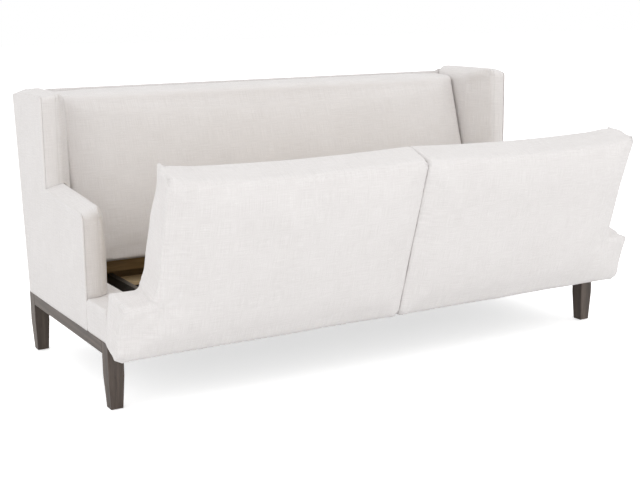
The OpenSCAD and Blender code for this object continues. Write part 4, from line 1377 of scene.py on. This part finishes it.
# Arm and wing in one flat panel: a grid over the L of both, whose upper front and rear
# corners are rounded and whose open edges roll in
def makeOutsidePanel():
    care = panelCare
    armRun, wingShare, lower, upper = panelGrid()
    zLow = baseTop + lower * (armBackTop - baseTop)
    zHigh = armBackTop + upper * (topZ - armBackTop)
    a, n = len(armRun), len(zLow)
    rows, columns = a + len(wingShare) - 1, n + len(zHigh)
    z = np.tile(np.concatenate([zLow, zHigh]), (rows, 1))
    y = np.zeros((rows, columns))
    y[:a] = (armY + armRun)[:, None]
    y[a:] = wingY + wingShare[1:, None] * (rearY(z[0]) - wingY)[None, :]
    y[a - 1] = wingY
    z[:a, :n] = baseTop + lower[None, :] * (armTop(y[:a, :n]) - baseTop)
    y, z = y.ravel(), z.ravel()
    row = np.repeat(np.arange(rows), columns)
    inArm = row < a
    u, v = roundCorner(y - armY, armTop(y) - z, care["armRound"])
    y = np.where(inArm, armY + u, y)
    z = np.where(inArm & (row < a - 1), armTop(armY + u) - v, z)
    above = z > armBackTop + 0.05
    onWing = above & (row >= a - 1)
    u, v = roundCorner(y - wingY, topZ - z, care["wingRound"])
    y, z = np.where(onWing, wingY + u, y), np.where(above, topZ - v, z)
    u, v = roundCorner(rearY(z) - y, topZ - z, care["wingRound"])
    y, z = np.where(above & ~inArm, rearY(z) - u, y), np.where(above & ~inArm, topZ - v, z)
    quads = gridQuads(rows, columns)
    row, column = quads[:, 0] // columns, quads[:, 0] % columns
    quads = quads[~((row < a - 1) & (column >= n - 1))]
    floorZ = baseTop - 1      # far below, so that the lower edge counts as no edge
    gap, _ = outlineDistance(np.stack([y, z], 1), [
        [armY, floorZ], [armY, armFrontTop], [wingY, armBackTop], [wingY, topZ],
        [rearY(topZ), topZ], [rearY(floorZ), floorZ],
    ])
    x = half - rolled(gap, care["roll"])
    place = np.stack([np.full_like(y, half), y, z], 1)
    wave = uneven(place, (0.34, 0.09), (0.7, 0.2), 31, shortBy=[1, 1, 0.5])
    x += wave * care["wander"] * ease(gap / 0.03)
    outer = np.stack([x, y, z], 1)
    inner = np.stack([np.full_like(x, timberOut + 0.0002), y, z], 1)
    return linkedSkin("outside_panel_right_cover", *closedShell(outer, inner, quads))


# What finishes a pad and its border alike: inside face, swell, profile of the front, and
# depth of the seam between the two
armForm = (armInner, armMost, armProfile, sideCare["armSeam"])
wingForm = (wingInner, wingMost, wingProfile, sideCare["wingSeam"])


def finishPad(pad, path, form, level, seed):
    inner, most, profile, seam = form
    finishMesh(pad.data, lambda p, n: finishSide(p, n, inner, most, level, seed, path, profile, seam))


def makeBorder(name, path, form, seed, topRoll):
    inner, most, profile, seam = form
    thick = sideCare["border"] - 0.0004
    return carriedStrip(name, path, thick, inner, most, profile, seam, seed, topRoll)


armPad = makeArmPad()
wingPad = makeWingPad()
finishPad(armPad, armPath, armForm, sideCare["armSwellFrom"], 51)
finishPad(wingPad, wingPath, wingForm, sideCare["wingSwellFrom"], 52)
armBorder = makeBorder("arm_border_right_cover", armPath, armForm, 21, sideCare["armTopRoll"])
wingBorder = makeBorder("wing_border_right_cover", wingPath, wingForm, 22, sideCare["wingTopRoll"])
for obj, node, fill in (
    (armPad, "arm_pad", 0.8), (wingPad, "wing_pad", 0.8),
    (armBorder, "arm_border", 0.9), (wingBorder, "wing_border", 0.9),
    (makeOutsidePanel(), "outside_panel", 0.9),
):
    other = mirrored(obj.name.replace("right", "left"), obj.data)
    dress(obj, linenBody, nodes=[f"{node}_right"], shift=0.21)
    dress(other, linenBody, nodes=[f"{node}_left"], shift=0.77)
print("arms and wings covered")


# Platform

platformCare = {
    "frontDepth": 0.096, "sideDepth": 0.110, "frontRoll": 0.022, "sideRoll": 0.014,
    "cornerRound": 0.009, "rail": 0.050, "railTop": baseTop + 0.084, "skin": 0.0062,
    "flat": 0.050, "hem": 0.005,            # the strip behind the roll; the rear edge's radius
    "pockets": (0.200, 0.760), "pocketHalf": 0.024, "pocketRoll": 0.004,    # round the hinges
    "pocketFloor": low("hinge_brackets").z - 0.002,
    "earFrom": 0.82, "earRear": 0.12,       # where the padding turns to run beside the seats
    "wander": 0.0009, "pull": 0.3, "pullEvery": 0.034,      # pulls along the nailed lower edge
    "edgeIn": 0.0015, "edgeHigh": 0.003,                    # how that edge turns in
    "rearRoll": 0.004, "rearDrop": 0.003,                   # of the ends in front of the arms
}


# Runs of numbers joined, each from the last one's end to its own end in so many steps
def runs(start, *stops):
    values = [[start]]
    for end, count in stops:
        values.append(np.linspace(start, end, count + 1)[1:])
        start = end
    return np.concatenate(values)


# Section of the platform's padding: how far in, and how high, from the bottom edge up
# over the roll and back; then the face that lies on the timber, point for point
def platformSection(roll, depth, bottomIn, timberFace, timberTop, tuck):
    care = platformCare
    z0, z1, pocket, hem, flat = baseTop, deckZ, care["pocketFloor"], care["hem"], care["flat"]
    turn = np.radians(np.linspace(180, 90, 11))[1:]
    hemTurn = np.radians([30, 60, 90])
    level = lambda count, height: np.full(count, height)
    ahead = lambda start, end, count: np.linspace(start, end, count + 1)[1:]
    wall = timberTop - 0.012
    outer = [
        (level(7, 0.0), np.linspace(z0, pocket, 7)),
        (level(9, 0.0), ahead(pocket, z1 - roll, 9)),
        (roll + roll * np.cos(turn), z1 - roll + roll * np.sin(turn)),
        (ahead(roll, flat, 5), level(5, z1)),
        (ahead(flat, depth - hem, 8), level(8, z1)),
        (depth - hem + hem * np.sin(hemTurn), z1 - hem + hem * np.cos(hemTurn)),
        (level(6, depth), ahead(z1 - hem, bottomIn, 6)),
    ]
    tuckZ = timberTop - 0.0001
    inner = [
        (level(7, timberFace), np.linspace(z0, pocket, 7)),
        (level(9, timberFace), ahead(pocket, wall - 0.010, 9)),
        (level(10, timberFace), ahead(wall - 0.010, wall, 10)),
        (level(5, timberFace), ahead(wall, timberTop, 5)),
        (ahead(timberFace, tuck, 8), level(8, timberTop)),
        (level(3, tuck), ahead(timberTop, tuckZ, 3)),
        (level(6, tuck), ahead(tuckZ, min(bottomIn, timberTop - 0.0002), 6)),
    ]
    return (np.concatenate([np.stack(part, 1) for part in side]) for side in (outer, inner))


# Normals of grid points: the mean of the faces round each
def pointNormals(points, quads):
    a, b, c, d = (points[quads[:, k]] for k in range(4))
    face = np.cross(c - a, d - b)
    total = np.zeros_like(points)
    for k in range(4):
        np.add.at(total, quads[:, k], face)
    return total / (np.linalg.norm(total, axis=1)[:, None] + 1e-15)


# Plan of the outer edge from the left rear end round the front to the right one, the
# points of the inner edge that face it, and how much each belongs to the side (0 to 1)
def platformPlan(rear):
    care = platformCare
    r, fold, w = care["cornerRound"], care["frontDepth"], care["pocketHalf"]
    stops = sorted(s * (p + e * w) for s in (-1, 1) for p in care["pockets"] for e in (-1, 1))
    front = runs(-half + r, *zip([*stops, half - r], (28, 7, 78, 7, 54, 7, 78, 7, 28)))
    side = np.linspace(rear - frontY, r, 26)
    turn = np.radians(np.linspace(0, 90, 9))[1:-1]
    outer = np.concatenate([
        np.stack([np.full(26, -half), side], 1),
        np.stack([-half + r - r * np.cos(turn), r - r * np.sin(turn)], 1),
        np.stack([front, np.zeros(len(front))], 1),
        np.stack([half - r + r * np.sin(turn), r - r * np.cos(turn)], 1),
        np.stack([np.full(26, half), side[::-1]], 1),
    ])
    x, y = outer.T
    start, sideX = care["earFrom"], half - care["sideDepth"]
    bent = start + (np.abs(x) - start) * (sideX - start) / (half - start)
    inX = np.sign(x) * np.where(np.abs(x) < start, np.abs(x), bent)
    inY = np.where(y < care["earRear"], fold + y * (care["earRear"] - fold) / care["earRear"], y)
    sideness = ease((y - 0.001) / (r * 1.2))
    inner = np.stack([
        inX * (1 - sideness) + np.sign(x) * sideX * sideness,
        fold * (1 - sideness) + inY * sideness,
    ], 1)
    return outer, inner, sideness


# How far the cover is lifted off the plan's surface: rolls round the pockets, waves and
# pulls, a tucked lower edge and rolled rear ends
def platformLift(outer, normals, pockets, rear):
    care = platformCare
    high = outer[:, 2] - baseTop
    gap = np.min([np.abs(outer[:, 0] - p) for p in pockets], 0) - care["pocketHalf"]
    below = care["pocketFloor"] - outer[:, 2]
    gap = np.where(below > 0, np.hypot(np.maximum(gap, 0), below), np.maximum(gap, 0))
    rounded = (outer[:, 1] < frontY + care["flat"] + 0.002) * (np.abs(normals[:, 0]) < 0.5)
    lift = -rolled(gap, care["pocketRoll"]) * 0.7 * rounded
    pull = np.sin(outer[:, 0] * 2 * math.pi / care["pullEvery"]) * np.exp(-(high / 0.014) ** 2)
    wave = uneven(outer, (0.30, 0.075), (0.7, 0.25), 61) + pull * care["pull"]
    lift += wave * care["wander"] * ease(high / 0.02) * ease(gap / 0.02)
    lift -= care["edgeIn"] * (1 - np.clip(high / care["edgeHigh"], 0, 1)) ** 2
    rearGap = np.where(np.abs(outer[:, 0]) > 0.85, rear - outer[:, 1], 1)
    lift -= rolled(rearGap, care["rearRoll"], care["rearDrop"]) * (outer[:, 1] > frontY + 0.1)
    return lift


# The front's section is carried round the plan and turns into the side's section at the
# corners; the front is cut away where the hinges stand
def makePlatform():
    care = platformCare
    pockets = sorted(s * p for s in (-1, 1) for p in care["pockets"])
    rear = armY - 0.0003
    fold, onRail = care["frontDepth"], care["railTop"] + 0.0003
    outerPlan, innerPlan, sideness = platformPlan(rear)
    frontOut, frontIn = platformSection(
        care["frontRoll"], fold, onRail, care["rail"], onRail, fold - 0.002
    )
    sideOut, sideIn = platformSection(
        care["sideRoll"], care["sideDepth"], baseTop, care["skin"], deckZ - 0.0057, 0.056
    )
    columns = len(frontOut)

    def place(frontPart, sidePart):
        s = sideness[:, None]
        share = (frontPart[None, :, 0] / fold) * (1 - s)
        share = share + (sidePart[None, :, 0] / care["sideDepth"]) * s
        z = frontPart[None, :, 1] * (1 - s) + sidePart[None, :, 1] * s
        at = outerPlan[:, None] * (1 - share[..., None]) + innerPlan[:, None] * share[..., None]
        return np.concatenate([at, z[..., None]], 2).reshape(-1, 3) + [0, frontY, 0]

    outer, inner = place(frontOut, sideOut), place(frontIn, sideIn)
    quads = gridQuads(len(outerPlan), columns)
    middle = outer[quads].mean(1)
    column = quads[:, 0] % columns
    cut = (column >= 6) & (column < 30)      # from the pocket's floor to the end of the level strip
    cut &= middle[:, 1] < frontY + care["flat"] + 0.0005
    cut &= np.min([np.abs(middle[:, 0] - p) for p in pockets], 0) < care["pocketHalf"]
    normals = pointNormals(outer, quads)
    outer = outer + normals * platformLift(outer, normals, pockets, rear)[:, None]
    level = deckZ - 0.0003      # the seats lie on it, so what would stand higher is turned down
    outer[:, 2] = np.where(outer[:, 2] > level, level - 0.5 * (outer[:, 2] - level), outer[:, 2])
    obj = linkedSkin("platform_cover", *closedShell(outer, inner, quads[~cut], 2))
    nodes = ["platform_front", "platform_ear_left", "platform_ear_right"]
    return dress(obj, linenBody, nodes=nodes, shift=0.4)


makePlatform()
print("platform covered")


ledgeCare = {"roll": 0.010, "wander": 0.0010, "strip": 0.010}


# A low bolster along the inside of the arm: its top rolls down on three sides
def makeLedge():
    lo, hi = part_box("seat_ledge_right")
    care = ledgeCare
    closing = care["strip"] * np.array([0, 0.05, 0.15, 0.35, 0.65])

    def run(start, end, count):
        inside = np.linspace(start + care["strip"], end - care["strip"], count)
        return np.concatenate([start + closing, inside, end - closing[::-1]])

    xs, ys = run(lo.x, hi.x, 14), run(lo.y, hi.y, 76)
    x, y = allPairs(xs, ys)
    gap = np.minimum.reduce([x - lo.x, y - lo.y, hi.y - y])
    wander = ripple(np.stack([x, y, 0 * x], 1), 0.11, 81, 9) * care["wander"] * ease(gap / 0.02)
    top = np.stack([x, y, hi.z - 0.0004 - rolled(gap, care["roll"]) - np.abs(wander)], 1)
    bottom = np.stack([x, y, np.full_like(x, lo.z)], 1)
    quads = gridQuads(len(xs), len(ys))
    return linkedSkin("seat_ledge_right_cover", *closedShell(top, bottom, quads, 8))


ledge = makeLedge()
otherLedge = mirrored("seat_ledge_left_cover", ledge.data)
dress(ledge, linenBody, nodes=["seat_ledge_right"])
dress(otherLedge, linenBody, nodes=["seat_ledge_left"], shift=0.3)
print("ledges covered")


# Outside back

rearCare = {"skin": 0.006, "roll": 0.0055, "wander": 0.0009}


# A leaning panel, its side and top edges rolled in, its face a little uneven
def makeOutsideBack():
    care = rearCare
    step, edge = edgeStrip * edgeSteps, timberOut - edgeStrip
    xs = np.concatenate([-timberOut + step, np.linspace(-edge, edge, 150), timberOut - step[::-1]])
    zs = np.concatenate([np.linspace(baseTop, topZ - edgeStrip, 80), topZ - step[::-1]])
    z, x = allPairs(zs, xs)
    gap = np.minimum.reduce([x + timberOut, timberOut - x, topZ - z])
    wave = uneven(np.stack([x, 0 * x, z], 1), (0.36, 0.09), (0.7, 0.2), 91)
    y = rearY(z) - rolled(gap, care["roll"]) + wave * care["wander"] * ease(gap / 0.03)
    outer = np.stack([x, y, z], 1)
    inner = np.stack([x, rearY(z) - care["skin"] + 0.0002, z], 1)
    skin = closedShell(outer, inner, gridQuads(len(zs), len(xs)))
    obj = linkedSkin("outside_back_cover", *skin)
    return dress(obj, linenBody, nodes=["outside_back"], shift=0.9)


makeOutsideBack()
print("outside back covered")


# The tops of the wings aren't level: the middle of each swells, the right one more, and
# the rear outer corner drops
topCare = {
    "left": -0.004, "right": 0.014, "from": 0.80, "corner": 0.045,
    "drop": 0.010, "dropForward": 0.08, "dropInward": 0.05,      # and how far the drop reaches
}


def swollenTop(points):
    care = topCare
    inward = half - np.abs(points[:, 0])
    forward = rearY(points[:, 2]) - points[:, 1]
    arch = lambda t: np.sqrt(1 - (1 - np.clip(t / care["corner"], 0, 1)) ** 2)
    rise = np.where(points[:, 0] < 0, care["left"], care["right"])
    rise = rise * arch(inward) * arch(points[:, 1] - wingY) * arch(forward)
    rear = 1 - ease(forward / care["dropForward"])
    outer = 1 - ease(inward / care["dropInward"])
    rise -= care["drop"] * rear * outer
    onWing = np.abs(points[:, 0]) > wingInner - 0.004
    height = ease((points[:, 2] - care["from"]) / (topZ - care["from"]))
    points[:, 2] += rise * height * onWing
    return points


for name in ("wing_pad_left", "wing_pad_right", "wing_border_left", "wing_border_right",
             "outside_panel_left", "outside_panel_right", "outside_back"):
    mesh = bpy.data.objects[f"{name}_cover"].data
    rewrite(mesh, swollenTop(read(mesh.vertices, "co", 3)))
print("wing tops swollen")


# Wood base and under cloth

railCare = {"bevel": 0.0016, "segments": 3}


# A planed board with eased edges
def easedBoard(node, material):
    lo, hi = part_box(node)
    corners = np.array([[x, y, z] for x in (lo.x, hi.x) for y in (lo.y, hi.y) for z in (lo.z, hi.z)])
    faces = np.array([
        [0, 1, 3, 2], [4, 6, 7, 5], [0, 4, 5, 1], [2, 3, 7, 6], [0, 2, 6, 4], [1, 5, 7, 3],
    ])
    obj = linked(f"{node}_board", makeMesh(node, corners, faces))
    edge = obj.modifiers.new("eased", "BEVEL")
    edge.width = railCare["bevel"]
    edge.segments = railCare["segments"]
    edge.limit_method = "ANGLE"
    mesh = applied(obj)
    flat = np.abs(read(mesh.polygons, "normal", 3)).max(1) > 0.9999
    mesh.polygons.foreach_set("use_smooth", ~flat)
    return dress(obj, material, nodes=[node], weave=False)


for place, material in (
    ("front", espressoAcross), ("rear", espressoAcross),
    ("left", espressoAlong), ("right", espressoAlong),
):
    easedBoard(f"base_rail_{place}", material)


# The thin black cloth under the frame, pulled tight and sagging a little between its tacks
clothCare = {"sag": 0.0016, "thick": 0.0008, "notch": 0.027}      # the notch clears a leg


# A rectangle less a square at each corner, hanging by a smooth step from its edges
def makeUnderCloth():
    care = clothCare
    lo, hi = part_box("dust_cover")
    notch = care["notch"]

    def run(start, end, count):
        inside = np.linspace(start + notch, end - notch, count)
        return np.concatenate([[start, start + notch / 2], inside, [end - notch / 2, end]])

    xs, ys = run(lo.x, hi.x, 120), run(lo.y, hi.y, 48)
    x, y = allPairs(xs, ys)
    quads = gridQuads(len(xs), len(ys))
    row, column = quads[:, 0] // len(ys), quads[:, 0] % len(ys)
    atX = (row < 2) | (row >= len(xs) - 3)
    atY = (column < 2) | (column >= len(ys) - 3)
    quads = quads[~(atX & atY)]
    gap = np.minimum.reduce([x - lo.x, hi.x - x, y - lo.y, hi.y - y])
    patchy = 1 + 0.4 * ripple(np.stack([x, y], 1), 0.25, 95, 7)
    top = np.stack([x, y, hi.z - 0.0001 - care["sag"] * ease(gap / 0.12) * patchy], 1)
    skin = closedShell(top, top - [0, 0, care["thick"]], quads)
    obj = linkedSkin("under_cloth", *skin)
    dress(obj, cambric, nodes=["dust_cover"], weave=False)


makeUnderCloth()
print("base and under cloth ready")


# Finishes of the timbers and fittings

finishes = {
    "leg_": espressoUpright, "foot_glides": glide, "front_seat_rail": hardwoodAcross,
    "rear_": hardwoodAcross, "side_seat_rail": hardwoodAlong, "cross_bars": charcoalBar,
    "deck_slats": paleAcross, "centre_bearer": paleAlong, "arm_frame": hardwoodAlong,
    "wing_frame": hardwoodUpright, "back_ribs": paleAlong, "back_top_rail": hardwoodAcross,
    "back_webbing": strap, "hinge_": zinc, "bracket_screws": zinc, "arm_screws": zinc,
    "seat_board": paleAcross,
}
for obj in bpy.data.objects:
    finish = next((look for start, look in finishes.items() if obj.name.startswith(start)), None)
    if obj.type == "MESH" and finish and "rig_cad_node" in obj:
        for slotItem in obj.material_slots:
            slotItem.material = finish


# Floor, light and camera

stageCare = {
    "reach": 30.0, "floor": (0.93, 0.93, 0.93),      # how far the floor goes each way, its colour
    "shine": 0.62,           # lifts the floor to the page's white
    "world": 1.0,            # strength of the room's light
}
lampCare = {
    "side": {"place": (-5.0, -1.5, 2.6), "size": 3.0, "power": 20.0},
    "front": {"place": (0.5, -5.5, 1.9), "size": 2.0, "power": 38.0},
}
lampTarget = np.array([0, 0, 0.4])
white = (1, 1, 1, 1)


# A wide pale floor, which shines a little of its own to the camera alone
def makeFloor():
    care = stageCare
    corners = np.array([[-1, -1, 0], [1, -1, 0], [1, 1, 0], [-1, 1, 0]]) * care["reach"]
    floor = linkedSkin("floor", corners, np.array([[0, 1, 2, 3]]))
    material = bpy.data.materials.new("paleFloor")
    material.use_nodes = True
    tree = material.node_tree
    tree.nodes.clear()
    toCamera = makeNode(tree, "ShaderNodeLightPath", output="Is Camera Ray")
    diffuse = makeNode(tree, "ShaderNodeBsdfDiffuse", Color=(*care["floor"], 1))
    glow = makeNode(tree, "ShaderNodeEmission", Color=white, Strength=care["shine"])
    both = makeNode(tree, "ShaderNodeAddShader", i0=diffuse, i1=glow)
    mixed = makeNode(tree, "ShaderNodeMixShader", i0=toCamera, i1=diffuse, i2=both)
    makeNode(tree, "ShaderNodeOutputMaterial", Surface=mixed)
    floor.data.materials.append(material)


# White to the camera and in mirror images, and of its own strength as light
def makeWorld():
    world = bpy.data.worlds.new("studio")
    bpy.context.scene.world = world
    world.use_nodes = True
    tree = world.node_tree
    tree.nodes.clear()
    rays = makeNode(tree, "ShaderNodeLightPath").socket.node.outputs
    toCamera, glossy, clear = (
        Wire(tree, rays[f"Is {kind} Ray"]) for kind in ("Camera", "Glossy", "Transmission")
    )
    lit = makeNode(tree, "ShaderNodeBackground", Color=white, Strength=stageCare["world"])
    shown = makeNode(tree, "ShaderNodeBackground", Color=white, Strength=1.0)
    watched = toCamera.greater(glossy).greater(clear)
    mixed = makeNode(tree, "ShaderNodeMixShader", i0=watched, i1=lit, i2=shown)
    makeNode(tree, "ShaderNodeOutputWorld", Surface=mixed)


def addLamp(name):
    care = lampCare[name]
    data = bpy.data.lights.new(name, "AREA")
    data.shape = "SQUARE"
    data.size = care["size"]
    data.energy = care["power"]
    lamp = linked(name, data)
    aim = Vector(lampTarget - care["place"]).to_track_quat("-Z", "Y").to_matrix().to_4x4()
    lamp.matrix_world = Matrix.Translation(care["place"]) @ aim


cameraCare = {
    "place": (-2.152, -3.588, 1.241), "yaw": 0.5349, "pitch": 0.1934, "roll": -0.0094,
    "lens": 65.73, "shiftX": -0.01509, "shiftY": -0.01731,
}


# Turned by yaw from straight ahead, then down by pitch, then about its own axis by roll
def makeCamera():
    care = cameraCare
    yaw, pitch, roll = care["yaw"], care["pitch"], care["roll"]
    level = np.array([math.sin(yaw), math.cos(yaw), 0])
    forward = level * math.cos(pitch) - [0, 0, math.sin(pitch)]
    right = np.array([math.cos(yaw), -math.sin(yaw), 0])
    up = np.cross(right, forward)
    right, up = (
        math.cos(roll) * right + math.sin(roll) * up,
        math.cos(roll) * up - math.sin(roll) * right,
    )
    data = bpy.data.cameras.new("view")
    data.lens = care["lens"]
    data.sensor_width = 36
    data.shift_x, data.shift_y = care["shiftX"], care["shiftY"]
    camera = linked("view", data)
    rows = [[right[k], up[k], -forward[k], care["place"][k]] for k in range(3)]
    camera.matrix_world = Matrix([*rows, [0, 0, 0, 1]])
    bpy.context.scene.camera = camera


makeFloor()
makeWorld()
for name in lampCare:
    addLamp(name)
makeCamera()
bpy.context.scene.view_settings.view_transform = "Standard"
print("stage set")
